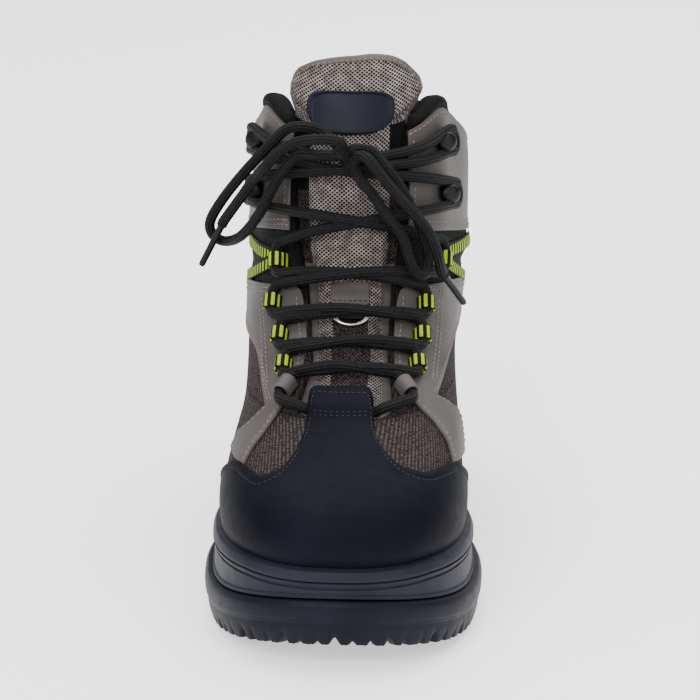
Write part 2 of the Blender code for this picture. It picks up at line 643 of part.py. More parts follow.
def disc(name, place, rings, back, paint):
    """A plate on the tongue: rings of (share of its size, lift), closed by a flat back."""
    mesh_data = bmesh.new()
    count = 18
    centre_height, centre_share = place
    span = TONGUE_RISE
    width = float(np.linalg.norm(
        tongue_surface(centre_height, 0.5) - tongue_surface(centre_height, -0.5)))

    def ring(share, lift):
        points = []
        for k in range(count):
            angle = 2 * pi * k / count
            flat = (abs(cos(angle)) ** 2.8 + abs(sin(angle)) ** 2.8) ** (-1 / 2.8)
            height = centre_height + share * flat * BADGE_HALF[1] * sin(angle) / span
            across = centre_share + share * flat * BADGE_HALF[0] * cos(angle) / width
            turn = across * float(tongue_half_turn(centre_height))
            half = float(tongue_half_turn(height))
            points.append(mesh_data.verts.new(tongue_surface(height, turn / half, lift)))
        return points

    loops = [ring(share, lift) for share, lift in rings]
    bottom = [ring(1.0, back), ring(0.6, back)]
    stack = loops + bottom
    skin(mesh_data, stack, True)
    mesh_data.faces.new(stack[0][::-1])
    mesh_data.faces.new(stack[-1])
    bmesh.ops.triangulate(mesh_data, faces=[face for face in mesh_data.faces if len(face.verts) > 4])
    return finish(mesh_data, name, paint)


def build_badge(rubber):
    rings = ((0.84, GAP + 0.0012), (0.87, GAP + 0.0019), (0.98, GAP + 0.0019), (1.0, GAP + 0.0012))
    return disc("tongue_badge", BADGE_PLACE, rings, GAP, rubber)


def tab_bar():
    """The middle of the ring's bar in the tab's fold, its axes and its lift over the tongue."""
    low, high = TAB_HEIGHTS
    height = low + BAR_SHARE * (high - low)
    lift = GAP + 0.0006 + TAB_FOLD[1][1] / 2
    turn = throat_edges(height)[0]
    centre = surface(height, turn, float(tongue_lift(height, 0.0)) + lift)
    return centre, flat_axes(height, turn), lift


def build_tongue_tab(leather):
    """The tab on the tongue; its lower end is folded round the ring's bar."""
    low, high = TAB_HEIGHTS
    fold = np.asarray(TAB_FOLD, float)
    heights = (low + (high - low) * fold[:, 0])[:, None]
    shares = np.linspace(-1, 1, 4) * fold[:, 2:] / tongue_half_turn(heights)
    lift = GAP + 0.0006
    outer = tongue_surface(heights, shares, lift + fold[:, 1:2])
    inner = tongue_surface(heights, shares, lift)
    tab = shell("tongue_tab", outer, inner, False, leather)
    centre, (_, across, _), _ = tab_bar()
    ends = (centre - across * RING_WIDTH, centre + across * RING_WIDTH)
    bore = helper(as_mesh(tube("ring_bore", ends, RING_WIRE + 2 * GAP, None), CUTTERS))
    return combine(tab, bore, "DIFFERENCE")


# Tubes, loops and hooks

def tube(name, points, diameter, paint, closed=False, resolution=1):
    curve = bpy.data.curves.new(name, "CURVE")
    curve.dimensions = "3D"
    curve.bevel_depth = diameter / 2
    curve.bevel_resolution = resolution
    curve.use_fill_caps = not closed
    spline = curve.splines.new("POLY")
    spline.points.add(len(points) - 1)
    for target, point in zip(spline.points, points):
        target.co = (*point, 1.0)
    spline.use_cyclic_u = closed
    spline.use_smooth = True
    made = bpy.data.objects.new(name, curve)
    if paint:
        curve.materials.append(paint)
    COLLECTION.objects.link(made)
    return made


def as_mesh(made, collection=None):
    """A curve's tube as a welded mesh object that can be cut or joined."""
    bpy.context.view_layer.update()
    evaluated = made.evaluated_get(bpy.context.evaluated_depsgraph_get())
    mesh = bpy.data.meshes.new_from_object(evaluated)
    mesh_data = bmesh.new()
    mesh_data.from_mesh(mesh)
    bmesh.ops.remove_doubles(mesh_data, verts=mesh_data.verts, dist=0.00001)
    bmesh.ops.recalc_face_normals(mesh_data, faces=mesh_data.faces)
    mesh_data.to_mesh(mesh)
    mesh_data.free()
    name = made.name
    place = made.matrix_world.copy()
    bpy.data.objects.remove(made, do_unlink=True)
    solid = bpy.data.objects.new(name, mesh)
    solid.matrix_world = place
    (collection or COLLECTION).objects.link(solid)
    return solid


def flat_axes(height, turn):
    """Perpendicular directions on the last: upward, across and outward."""
    upward, sideways, outward = frame_at(height, turn)
    across = unit(sideways - upward * np.dot(sideways, upward))
    return upward, across, outward


def near(height, turn, up, side):
    """The place at a distance in metres, up and across, from another place."""
    upward, across, _ = flat_axes(height, turn)
    span = 0.01
    climb = (last(height + span, turn) - last(height - span, turn)) / (2 * span)
    swing = (last(height, turn + 1.0) - last(height, turn - 1.0)) / 2
    step = np.linalg.lstsq(np.stack([climb, swing], -1), upward * up + across * side, rcond=None)[0]
    return height + float(step[0]), turn + float(step[1])


def through_strap(height, turn, side, length, slant=0.0):
    """The lace's turn under a strap: in at the foot, out at the head, both to the middle."""
    angles = np.radians((0, 40, 80))
    ups = length / 2 + 0.0001 + LACE_BEND * np.sin(angles)
    inwards = LACE_BEND * (1 - np.cos(angles))
    rows = []
    for up, inward in (*zip(-ups[::-1], inwards[::-1]), *zip(ups, inwards)):
        inward = -side * inward
        place = near(height, turn, up * cos(slant) - inward * sin(slant),
                     up * sin(slant) + inward * cos(slant))
        rows.append((*place, LACE_LIFT))
    return rows


def round_hook(height, turn, side):
    """The lace's turn round a hook's stem, on its outer side."""
    radius = HOOK_STEM / 2 + LACE / 2 + 2 * GAP
    lift = (2 * GAP + OVERLAY + 0.0012 + GAP) / LACE + 0.5
    rows = []
    for angle in (-100, -60, -20, 20, 60, 100):
        up, out = radius * sin(radians(angle)), radius * cos(radians(angle))
        rows.append((*near(height, turn, up, side * out), lift))
    return rows


def strand_stations(first_side):
    """Each place that holds one strand, from the toe up, on alternate sides."""
    side = first_side
    height, lateral, medial = TUNNEL_PLACE
    slant = radians(TUNNEL_SLANT) * -side
    yield through_strap(height, medial if side > 0 else lateral, side, TUNNEL_LENGTH, slant), None
    for height, lateral, medial in (*LOOP_PLACES, ANKLE_PLACE):
        side = -side
        yield through_strap(height, medial if side > 0 else lateral, side, LOOP_WIDTH), "strap"
    for height, lateral, medial in HOOK_PLACES:
        side = -side
        yield round_hook(height, medial if side > 0 else lateral, side), "hook"


def strand(first_side, over, start_lift):
    """Places of one strand, from the bar under the tab to its way into the knot."""
    bar = np.array(BAR_UNDER_TAB)
    rows = [(bar[0, 0], -3.0 * first_side, start_lift)]
    rows += [(height, first_side * turn, lift) for height, turn, lift in bar[1:]]
    for station, kind in strand_stations(first_side):
        if kind:
            start, end = np.array(rows[-1]), np.array(station[0])
            lifts = over if kind == "strap" else tuple(max(pair) for pair in zip(over, SHAFT_OVER))
            for share, lift in zip((0.21, 0.5, 0.8), lifts):
                place = start + (end - start) * share
                rows.append((place[0], place[1], lift))
        rows += station
    height, turn, _ = KNOT_PLACE
    start = np.array(rows[-1])
    end = np.array((height + 0.002, turn + 14.0 * np.sign(start[1])))
    for share, lift in ((0.5, 1.32), (1.0, 1.25)):
        rows.append((*(start[:2] + (end - start[:2]) * share), lift))
    return np.asarray(rows, float)


def from_knot(toward):
    """Where a cord leaves the knot on its way to a point."""
    height, turn, lift = KNOT_PLACE
    upward, sideways, outward = frame_at(height, turn)
    centre = surface(height, turn, lift * LACE)
    way = unit(np.asarray(toward, float) - centre)
    local = np.stack([sideways, upward, outward]) @ way / np.array(KNOT_HALF)
    return centre + way * (1 / np.linalg.norm(local) + 3 * GAP)


def strand_points(first_side, over, start_lift):
    rows = strand(first_side, over, start_lift)
    points = surface(rows[:, 0], rows[:, 1], rows[:, 2] * LACE)
    return np.vstack([points, from_knot(points[-1])])


def build_lacing(cord):
    points = strand_points(-1, FIRST_OVER, -0.17)
    first = as_mesh(tube("lacing", points, LACE, cord))
    points = strand_points(1, SECOND_OVER, -0.08)
    second = helper(as_mesh(tube("second_strand", points, LACE, cord), CUTTERS))
    return combine(first, second, "UNION")


def bow_points(rows):
    rows = np.asarray(rows, float)
    x = rows[..., 0] * UPPER_WIDTH
    y = HEEL_REACH - rows[..., 1] * LENGTH
    return np.stack([x, y, FEATHER_HEIGHT + rows[..., 2] * UPPER_RISE], -1)


def build_bow(cord, tip):
    """The bow's loops, from the knot and back to it, and its ends with their tips."""
    for side, rows in (("lateral", BOW_LOOP_LATERAL), ("medial", BOW_LOOP_MEDIAL)):
        points = bow_points(rows)
        points = np.vstack([from_knot(points[0]), points, from_knot(points[-1])])
        as_mesh(tube(f"bow_loop_{side}", points, LACE, cord))
    for side, rows, place in (
            ("lateral", LACE_END_LATERAL, TIP_LATERAL), ("medial", LACE_END_MEDIAL, TIP_MEDIAL)):
        points = bow_points(rows)
        way = unit(bow_points(place) - points[-1])
        end = points[-1] + way * 0.0030
        as_mesh(tube(f"lace_end_{side}", np.vstack([from_knot(points[0]), points, end]), LACE, cord))
        start = end + way * GAP
        as_mesh(tube(f"aglet_{side}", [start, start + way * AGLET_LENGTH], AGLET, tip))


def arch(name, height, turn, length, bore, wall, slant, sink, paint, collection=None):
    """A strap bent over the lace: an arch with two legs, drawn along the lace."""
    upward, sideways, outward = (Vector(axis) for axis in flat_axes(height, turn))
    run = (upward * cos(slant) + sideways * sin(slant)).normalized()
    across = run.cross(outward).normalized()
    centre = Vector(surface(height, turn, LACE_LIFT * LACE))
    drop = LACE_LIFT * LACE - sink
    inner = bore / 2
    outer = inner + wall
    steps = 4
    outside = [(-outer, -drop)] + [
        (-outer * cos(pi * k / steps), outer * sin(pi * k / steps)) for k in range(steps + 1)
    ] + [(outer, -drop)]
    inside = [(-inner, -drop)] + [
        (-inner * cos(pi * k / steps), inner * sin(pi * k / steps)) for k in range(steps + 1)
    ] + [(inner, -drop)]

    def line(profile, shift):
        return [centre + across * p + outward * q + run * shift for p, q in profile]

    ends = (-length / 2, length / 2)
    outer_grid = [line(outside, shift) for shift in ends]
    inner_grid = [line(inside, shift) for shift in ends]
    return shell(name, outer_grid, inner_grid, False, paint, collection)


def build_loops(webbing, leather):
    bore = LACE + 0.0014
    sink = GAP + OVERLAY + GAP + 0.0003
    for number, (height, lateral, medial) in enumerate(LOOP_PLACES, 1):
        for side, turn in (("lateral", lateral), ("medial", medial)):
            arch(f"lace_loop_{side}_{number}", height, turn, LOOP_WIDTH, bore, WEBBING, 0.0, sink, webbing)
    height, lateral, medial = TUNNEL_PLACE
    for side, turn, slant in (("lateral", lateral, TUNNEL_SLANT), ("medial", medial, -TUNNEL_SLANT)):
        arch(f"lace_tunnel_{side}", height, turn, TUNNEL_LENGTH, bore, OVERLAY, radians(slant),
             sink + 0.0002, leather)


def build_ankle_webbing(webbing):
    apex_height = ANKLE_PLACE[0]
    half = 0.018
    for side, sign, turns, apex in (
            ("lateral", -1, WEBBING_TURNS_LATERAL, -ANKLE_PLACE[1]),
            ("medial", 1, WEBBING_TURNS_MEDIAL, ANKLE_PLACE[2])):
        near, far = turns
        front, upper_back, lower_back = WEBBING_HEIGHTS
        places = np.linspace(0, 1, 5)
        turn = near + (far - near) * places
        parts = []
        for label, back in (("upper", upper_back), ("lower", lower_back)):
            middle = front + (back - front) * places
            low = np.column_stack([middle - half, sign * turn])
            high = np.column_stack([middle + half, sign * turn])
            parts.append(region(f"webbing_{label}_{side}", low, high, across=1))
        rows = last_rows(0.62, 0.80, GAP + WEBBING, GAP)
        made = ring_shell(f"ankle_webbing_{side}", rows, webbing)
        combine(parts[0], parts[1], "UNION")
        combine(made, parts[0], "INTERSECT")
        loop = arch(f"ankle_loop_{side}", apex_height, sign * apex, LOOP_WIDTH, LACE + 0.0012, WEBBING,
                    0.0, GAP + 0.4 * WEBBING, None, CUTTERS)
        combine(made, helper(loop), "UNION")


def build_hook(name, height, turn, metal):
    """A speed hook: a riveted foot, a stem for the lace and a domed head."""
    seat = GAP + OVERLAY + GAP
    top = HOOK_HEIGHT
    head = HOOK_HEAD / 2
    profile = (
        (0.0, top), (0.6 * head, top - 0.0005), (head, top - 0.0022), (0.84 * head, top - 0.0030),
        (HOOK_STEM / 2, top - 0.0031), (HOOK_STEM / 2, 0.0011), (0.84 * HOOK_BASE / 2, 0.0010),
        (HOOK_BASE / 2, 0.0), (0.0, 0.0))
    mesh_data = bmesh.new()
    corners = [mesh_data.verts.new((x, 0.0, z)) for x, z in profile]
    for start, end in zip(corners, corners[1:]):
        mesh_data.edges.new((start, end))
    mesh = bpy.data.meshes.new(name)
    mesh_data.to_mesh(mesh)
    mesh_data.free()
    mesh.materials.append(metal)
    made = bpy.data.objects.new(name, mesh)
    COLLECTION.objects.link(made)
    turned = made.modifiers.new("turned", "SCREW")
    turned.axis = "Z"
    turned.steps = 10
    turned.render_steps = 10
    turned.use_merge_vertices = True
    turned.merge_threshold = 0.00001
    turned.use_smooth_shade = True
    upward, sideways, outward = (Vector(axis) for axis in frame_at(height, turn))
    across = upward.cross(outward).normalized()
    axes = Matrix((across, outward.cross(across), outward)).transposed().to_4x4()
    made.matrix_world = Matrix.Translation(Vector(surface(height, turn, seat))) @ axes
    return made


def build_hooks(metal):
    for label, (height, lateral, medial) in zip(("lower", "upper"), HOOK_PLACES):
        build_hook(f"lace_hook_lateral_{label}", height, lateral, metal)
        build_hook(f"lace_hook_medial_{label}", height, medial, metal)


def build_ring(metal):
    """A D-shaped wire ring: its bar lies in the tab's fold, its bow on the tongue."""
    centre, (upward, across, outward), lift = tab_bar()
    half = RING_WIDTH / 2
    depth = 0.82 * half
    tilt = (RING_WIRE / 2 + 4 * GAP - lift) / depth
    points = []
    for angle in np.linspace(pi, 2 * pi, 11):
        down = -depth * sin(angle)
        points.append(centre + across * half * cos(angle) + (outward * tilt - upward) * down)
    return tube("tab_ring", points, RING_WIRE, metal, closed=True)


def build_knot(cord):
    height, turn, lift = KNOT_PLACE
    upward, sideways, outward = (Vector(axis) for axis in frame_at(height, turn))
    mesh_data = bmesh.new()
    bmesh.ops.create_uvsphere(mesh_data, u_segments=12, v_segments=7, radius=1.0)
    axes = Matrix((sideways, upward, outward)).transposed()
    for corner in mesh_data.verts:
        scaled = Vector(corner.co[k] * KNOT_HALF[k] for k in range(3))
        corner.co = axes @ scaled + Vector(surface(height, turn, lift * LACE))
    return finish(mesh_data, "lace_knot", cord)


def main():
    clear_scene()
    rubber = material("black_rubber", (0.018, 0.018, 0.026), 0.5)
    foam = material("midsole_foam", (0.022, 0.022, 0.030), 0.65)
    insole_foam = material("insole_foam", (0.05, 0.05, 0.055), 0.9)
    cloth = material("brown_mesh", (0.075, 0.055, 0.050), 0.9)
    lining_cloth = material("black_lining", (0.014, 0.014, 0.017), 0.9)
    leather = material("taupe_leather", (0.145, 0.122, 0.112), 0.6)
    tongue_cloth = material("tongue_mesh", (0.20, 0.17, 0.155), 0.9)
    webbing = material("striped_webbing", (0.55, 0.70, 0.08), 0.7)
    cord = material("black_cord", (0.012, 0.012, 0.015), 0.8)
    metal = material("black_metal", (0.010, 0.010, 0.012), 0.25, 0.6)
    steel = material("bright_steel", (0.60, 0.60, 0.60), 0.25, 1.0)
    throat = throat_region("throat")
    build_outsole(rubber)
    build_midsole(foam)
    build_welt(rubber)
    build_insole(insole_foam)
    build_upper(cloth, throat)
    build_lining(lining_cloth, throat)
    build_toe_cap(rubber)
    build_counter(leather)
    for side, sign, stay, heel_strap, strap in (
            ("lateral", -1, EYESTAY_LATERAL, HEEL_STRAP_LATERAL, STRAP_LATERAL),
            ("medial", 1, EYESTAY_MEDIAL, HEEL_STRAP_MEDIAL, STRAP_MEDIAL)):
        build_eyestay(side, sign, stay, heel_strap, leather)
        strap_cutter = side_region(f"strap_region_{side}", strap, sign, samples=10)
        overlay(f"vamp_strap_{side}", strap_cutter, leather, low=0.20, high=0.46)
    build_cuff(leather)
    build_tongue(tongue_cloth)
    build_badge(rubber)
    build_tongue_tab(leather)
    build_ring(steel)
    build_loops(webbing, leather)
    build_ankle_webbing(webbing)
    build_hooks(metal)
    build_lacing(cord)
    build_knot(cord)
    build_bow(cord, rubber)


main()
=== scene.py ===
"""Looks of the wading boot: rubber, leather, mesh, webbing, lace, stage and camera.

It is laid out as an add-on and run as a script. Sizes are in metres, in the packed model's
frame: the toe points to -Y, the big-toe side to +X, and the floor is at z = 0.
"""
from math import cos, pi, radians, sin

import bmesh
import bpy
import numpy as np
from bpy.props import FloatVectorProperty, PointerProperty
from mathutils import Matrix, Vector


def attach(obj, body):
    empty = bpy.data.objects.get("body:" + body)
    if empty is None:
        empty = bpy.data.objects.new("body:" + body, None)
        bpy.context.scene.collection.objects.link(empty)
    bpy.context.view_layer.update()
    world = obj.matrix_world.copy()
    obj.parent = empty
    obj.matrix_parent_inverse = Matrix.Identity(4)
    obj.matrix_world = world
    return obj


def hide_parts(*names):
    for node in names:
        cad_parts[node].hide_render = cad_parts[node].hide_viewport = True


bl_info = {
    "name": "Wading boot",
    "version": (1, 0, 0),
    "blender": (4, 5, 0),
    "location": "3D View > Sidebar > Boot",
    "description": "Dresses the packed boot in rubber, leather, mesh, webbing and lace",
    "category": "Object",
}

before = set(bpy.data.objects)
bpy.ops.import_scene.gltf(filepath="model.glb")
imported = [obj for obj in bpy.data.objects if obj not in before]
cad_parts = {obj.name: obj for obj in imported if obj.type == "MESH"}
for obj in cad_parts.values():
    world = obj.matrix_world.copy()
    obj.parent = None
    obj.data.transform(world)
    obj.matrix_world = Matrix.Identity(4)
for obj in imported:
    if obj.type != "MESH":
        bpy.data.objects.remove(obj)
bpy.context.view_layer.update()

# Driving sizes
LENGTH = 0.308
HEEL_REACH = 0.045
UPPER_WIDTH = 0.103
SHAFT_WIDTH = 0.100
FEATHER_HEIGHT = 0.044
UPPER_RISE = 0.146
TONGUE_RISE = 0.033
TONGUE_LEAN = 0.0135
TONGUE_FOOT = 0.395
LUG_HEIGHT = 0.0050
LUG_BAND = 0.0105
CUP_BAND = 0.0090
WELT_HEIGHT = 0.0055
TOE_SPRING = 0.0130
HEEL_BEVEL = 0.0030
SPRING_START = 0.225
BEVEL_END = 0.018
CUP_REACH = 0.0095
MIDSOLE_REACH = 0.0055
WELT_REACH = 0.0060
EDGE_LUGS = 32
WALL = 0.0030
GAP = 0.0003
OVERLAY = 0.0014
SEAT = 0.0002
TOE_CAP = 0.0018
TONGUE_THICKNESS = 0.0065
LACE = 0.0048
LOOP_WIDTH = 0.0064
TUNNEL_LENGTH = 0.0082
LACE_BEND = 0.0045
LOOP_WALL = 0.0009
BAND_WALL = 0.0008
TUNNEL_WALL = 0.0010
STRAP_BEVEL = 0.0003
LOOP_ROOM = 0.0002
TAB_SEAT = 0.0006
HOOK_HEAD = 0.0094
HOOK_STEM = 0.0042
HOOK_BASE = 0.0100
HOOK_TOP = 0.0088
RING_WIRE = 0.0016
RING_WIDTH = 0.0156
AGLET = 0.0032
AGLET_LENGTH = 0.0220

# The last, as in the part's source
LAST_COLUMNS = (
    "front", "front_rise", "back", "back_rise", "heel", "middle", "ball",
    "back_cap", "front_cap", "power", "dip", "rim")
LAST_ROWS = (
    (0.968, 0.000, 0.026, 0.000, 0.76, 0.800, 0.985, 0.15, 0.30, 2.55, 0.048, 0.00),
    (0.983, 0.048, 0.017, 0.055, 0.79, 0.840, 1.005, 0.16, 0.31, 2.55, 0.040, 0.00),
    (0.977, 0.106, 0.013, 0.110, 0.81, 0.870, 1.008, 0.17, 0.33, 2.50, 0.030, 0.00),
    (0.945, 0.161, 0.013, 0.158, 0.82, 0.900, 1.000, 0.18, 0.35, 2.40, 0.020, 0.00),
    (0.886, 0.212, 0.015, 0.200, 0.83, 0.920, 0.985, 0.19, 0.37, 2.30, 0.010, 0.00),
    (0.818, 0.257, 0.018, 0.240, 0.84, 0.935, 0.965, 0.21, 0.39, 2.20, 0.003, 0.00),
    (0.750, 0.305, 0.023, 0.281, 0.85, 0.945, 0.945, 0.23, 0.41, 2.15, 0.000, 0.00),
    (0.688, 0.353, 0.028, 0.322, 0.85, 0.955, 0.925, 0.25, 0.43, 2.10, 0.000, 0.00),
    (0.633, 0.414, 0.034, 0.370, 0.86, 0.965, 0.910, 0.28, 0.44, 2.10, 0.000, 0.00),
    (0.578, 0.493, 0.041, 0.428, 0.87, 0.975, 0.895, 0.31, 0.45, 2.10, 0.000, 0.00),
    (0.532, 0.589, 0.045, 0.500, 0.88, 0.985, 0.885, 0.34, 0.45, 2.10, 0.000, 0.00),
    (0.495, 0.699, 0.047, 0.592, 0.90, 0.990, 0.880, 0.37, 0.45, 2.15, 0.000, 0.05),
    (0.466, 0.815, 0.044, 0.699, 0.91, 0.990, 0.870, 0.39, 0.45, 2.20, 0.000, 0.25),
    (0.443, 0.918, 0.037, 0.815, 0.915, 0.985, 0.850, 0.40, 0.45, 2.20, 0.000, 0.60),
    (0.425, 1.000, 0.029, 0.945, 0.89, 0.965, 0.825, 0.40, 0.45, 2.20, 0.000, 1.00),
)
WIDTH_STATIONS = (0.0, 0.15, 0.45, 0.72, 1.0)
HEEL_POWER = 2.3
RIM_WAVE = (
    (0.00, 0.000), (0.15, -0.055), (0.42, -0.072), (0.62, 0.010),
    (0.78, 0.080), (0.90, 0.035), (1.00, 0.000))
BEND = (
    (0.0, -0.010), (0.2, -0.018), (0.4, -0.020), (0.6, -0.005),
    (0.75, 0.018), (0.9, 0.036), (1.0, 0.040))

# Outlines on the last as (height, turn) places
THROAT = (
    (0.408, -6, 8), (0.413, -14, 16), (0.426, -19, 21), (0.460, -20, 22.5),
    (0.510, -18, 23), (0.564, -15.5, 22), (0.630, -18, 23), (0.700, -21, 24.5),
    (0.750, -25, 27), (0.800, -28, 28.5), (0.860, -30, 30), (0.930, -30.5, 29.5),
    (0.985, -29.5, 30), (1.000, -29.5, 30))
CAP_EDGE = (
    (0.018, -77), (0.14, -66), (0.228, -51), (0.250, -43), (0.250, -37), (0.244, -28),
    (0.285, -18.0), (0.345, -13.8), (0.400, -12.2), (0.460, -11.7), (0.4655, -10.6), (0.4655, 8.6),
    (0.460, 9.9), (0.400, 10.6), (0.350, 12.0), (0.290, 19.5), (0.256, 30), (0.248, 43),
    (0.236, 51), (0.15, 66), (0.018, 76))
TAB_LIFT = ((0.390, 0.0), (0.408, 0.0008), (0.424, 0.0034), (0.450, 0.0042), (0.500, 0.0046))
COUNTER_EDGE = (
    (0.018, -88), (0.16, -82), (0.24, -72), (0.34, -55), (0.41, -35), (0.44, -15),
    (0.445, 0), (0.44, 15), (0.41, 35), (0.34, 55), (0.24, 72), (0.16, 82), (0.018, 88))
PANEL_FOOT = 0.004
# Rows across a stay and its heel strap as (inner height, inner turn, outer height, outer turn)
STAY_LATERAL = (
    (0.433, 25.5, 0.408, 36.0), (0.460, 23.5, 0.450, 41.0), (0.500, 21.0, 0.500, 46.0),
    (0.540, 18.2, 0.528, 50.0), (0.600, 17.6, 0.538, 54.0), (0.660, 20.4, 0.543, 58.0),
    (0.698, 23.0, 0.545, 62.0), (0.690, 38.0, 0.545, 68.0), (0.678, 58.0, 0.543, 76.0),
    (0.655, 86.0, 0.539, 90.0), (0.628, 118.0, 0.528, 118.0), (0.612, 150.0, 0.516, 150.0),
    (0.603, 179.7, 0.507, 179.7))
STAY_MEDIAL = (
    (0.438, 29.5, 0.418, 46.0), (0.460, 25.5, 0.450, 53.0), (0.500, 24.2, 0.505, 63.0),
    (0.540, 23.6, 0.530, 70.0), (0.600, 23.4, 0.536, 75.0), (0.660, 25.0, 0.538, 79.0),
    (0.698, 26.5, 0.538, 82.0), (0.690, 44.0, 0.537, 87.0), (0.678, 70.0, 0.535, 94.0),
    (0.655, 97.0, 0.532, 104.0), (0.628, 125.0, 0.524, 125.0), (0.612, 150.0, 0.516, 150.0),
    (0.603, 179.7, 0.507, 179.7))
STRAP_LATERAL = (
    (0.436, 25.3, 0.410, 36.3), (0.361, 32.5, 0.350, 46.0), (0.304, 38.0, 0.300, 55.0),
    (0.250, 41.0, 0.236, 60.0))
STRAP_MEDIAL = (
    (0.441, 29.8, 0.420, 46.2), (0.368, 41.0, 0.370, 57.0), (0.300, 47.5, 0.310, 66.0),
    (0.238, 49.5, 0.212, 69.0))
CUFF = (
    (30.4, 0.790, 0.976), (36.0, 0.790, 0.981), (60.0, 0.781, 0.984), (90.0, 0.766, 0.994),
    (130.0, 0.762, 0.990), (180.0, 0.762, 0.982))
WEBBING_TURNS_LATERAL = (36.0, 91.0)
WEBBING_TURNS_MEDIAL = (52.0, 97.0)
WEBBING_HEIGHTS = (0.741, 0.745, 0.650)
WEBBING_HALF = 0.0135

LOOP_PLACES = ((0.513, -27.5, 34.5), (0.581, -31.0, 37.5), (0.648, -37.0, 40.0))
TUNNEL_PLACE = (0.459, -25.2, 27.4)
TUNNEL_SLANT = 22.0
ANKLE_PLACE = (0.732, -35.5, 51.5)
HOOK_LEAN = 0.68
HOOK_PLACES = ((0.842, -60.0, 58.0), (0.925, -62.0, 55.5))
# The badge: its middle as metres over the rim and a turn, its half sizes and its roundness
BADGE_PLACE = (0.0072, -0.3)
BADGE_HALF = (0.0267, 0.0092)
BADGE_POWER = 2.8
# Metres that a height of 1 spans under the rim
UNDER_RIM = 0.168
# The tongue's top edge as (turn, height)
TONGUE_TOP = (
    (-43.4, 1.10), (-43.0, 1.25), (-40.8, 1.41), (-37.2, 1.56), (-31.5, 1.70), (-22.5, 1.84),
    (-11.4, 1.94), (0.0, 1.99), (10.8, 2.00), (22.0, 1.93), (30.5, 1.80), (37.2, 1.62),
    (43.0, 1.45), (47.2, 1.29), (49.4, 1.10))
TAB_HEIGHTS = (0.6405, 0.706)
# Where the tongue's cloth changes: heights, and degrees off its middle
TONGUE_CLOTH_TOP, TONGUE_CLOTH_HALF = 0.655, 8.5
TONGUE_EDGE_TOP, TONGUE_EDGE_HALF = 0.745, 15.5
GUSSET_DARK_FROM, GUSSET_TOP, GUSSET_HALF = 0.865, 1.03, 20.0
BINDING_FROM = 0.99
# Heights of the two rows of stitches across the cap's tab, and their turns
CAP_STITCH_HEIGHTS = (0.4095, 0.4145)
CAP_STITCH_TURNS = (-11.2, 9.6)
LACE_LIFT = 1.0
BAR_UNDER_TAB = ((0.431, 0.0, -0.14), (0.431, 9.0, -0.12), (0.430, 12.5, -0.06), (0.425, 17.5, 0.62))
FIRST_OVER = (1.18, 1.45, 1.24)
SECOND_OVER = (1.24, 1.80, 1.35)
SHAFT_OVER = (1.34, 1.60, 1.36)
# Places on a crossing between its two straps, and how far it arches up there in shares of height
CROSSING_SHARES = (0.21, 0.5, 0.8)
CROSSING_ARCH = (0.010, 0.014, 0.010)
KNOT_PLACE = (0.925, 1.0, 2.3)
KNOT_HALF = (0.0086, 0.0056, 0.0052)
TAB_FOLD = (
    (0.0, 0.0024, 5.6), (0.05, 0.0034, 5.8), (0.24, 0.0034, 5.8), (0.40, 0.0016, 9.0),
    (1.0, 0.0012, 9.2))
BAR_SHARE = 0.13

# The bow: side is a share of UPPER_WIDTH, reach of LENGTH, rise of UPPER_RISE
BOW_LOOP_LATERAL = (
    (-0.133, 0.461, 1.011), (-0.185, 0.458, 1.022), (-0.243, 0.453, 1.021), (-0.301, 0.447, 1.004),
    (-0.406, 0.433, 0.925), (-0.513, 0.420, 0.836), (-0.596, 0.406, 0.755), (-0.644, 0.399, 0.690),
    (-0.630, 0.399, 0.648), (-0.573, 0.401, 0.631), (-0.491, 0.437, 0.670), (-0.407, 0.464, 0.752),
    (-0.355, 0.468, 0.825), (-0.296, 0.468, 0.896), (-0.226, 0.473, 0.942), (-0.150, 0.490, 0.950))
BOW_LOOP_MEDIAL = (
    (0.034, 0.498, 0.884), (0.082, 0.503, 0.848), (0.153, 0.513, 0.782), (0.223, 0.519, 0.719),
    (0.255, 0.530, 0.657), (0.282, 0.534, 0.616), (0.323, 0.525, 0.605), (0.336, 0.506, 0.645),
    (0.319, 0.497, 0.696), (0.287, 0.494, 0.757), (0.218, 0.491, 0.848), (0.147, 0.485, 0.915),
    (0.086, 0.478, 0.961))
LACE_END_LATERAL = (
    (-0.062, 0.500, 1.000), (-0.150, 0.497, 1.002), (-0.244, 0.484, 0.985), (-0.318, 0.480, 0.951),
    (-0.375, 0.477, 0.907), (-0.433, 0.453, 0.853), (-0.502, 0.438, 0.782), (-0.571, 0.425, 0.711))
LACE_END_MEDIAL = (
    (0.068, 0.507, 0.952), (0.144, 0.513, 0.890), (0.231, 0.518, 0.821), (0.326, 0.520, 0.744),
    (0.374, 0.525, 0.672), (0.393, 0.501, 0.599))
TIP_LATERAL = (-0.683, 0.411, 0.555)
TIP_MEDIAL = (0.476, 0.457, 0.487)

# Soft creases as (height, turn, height spread, turn spread, lift): troughs and ridges
CREASES = (
    (0.700, 105, 0.020, 34, -0.0011), (0.735, 120, 0.020, 30, 0.0006),
    (0.700, -105, 0.020, 34, -0.0011), (0.735, -120, 0.020, 30, 0.0006),
    (0.560, 92, 0.030, 16, -0.0006), (0.560, -92, 0.030, 16, -0.0006),
    (0.690, 180, 0.022, 24, -0.0009), (0.850, 140, 0.030, 22, 0.0005),
    (0.850, -128, 0.026, 20, -0.0006), (0.340, -76, 0.150, 36, -0.0046),
    (0.738, 84, 0.032, 32, 0.0022), (0.880, -88, 0.060, 34, -0.0014))

# Camera: the photograph's view of the boot
AIM = (0.0, -0.115, 0.100)
AIM_DROP = 0.0036
VIEW_AZIMUTH = 4.0
VIEW_ELEVATION = 16.0
VIEW_DISTANCE = 1.400
FOCAL_PIXELS = 3143.0
IMAGE_PIXELS = 700.0
SENSOR = 36.0


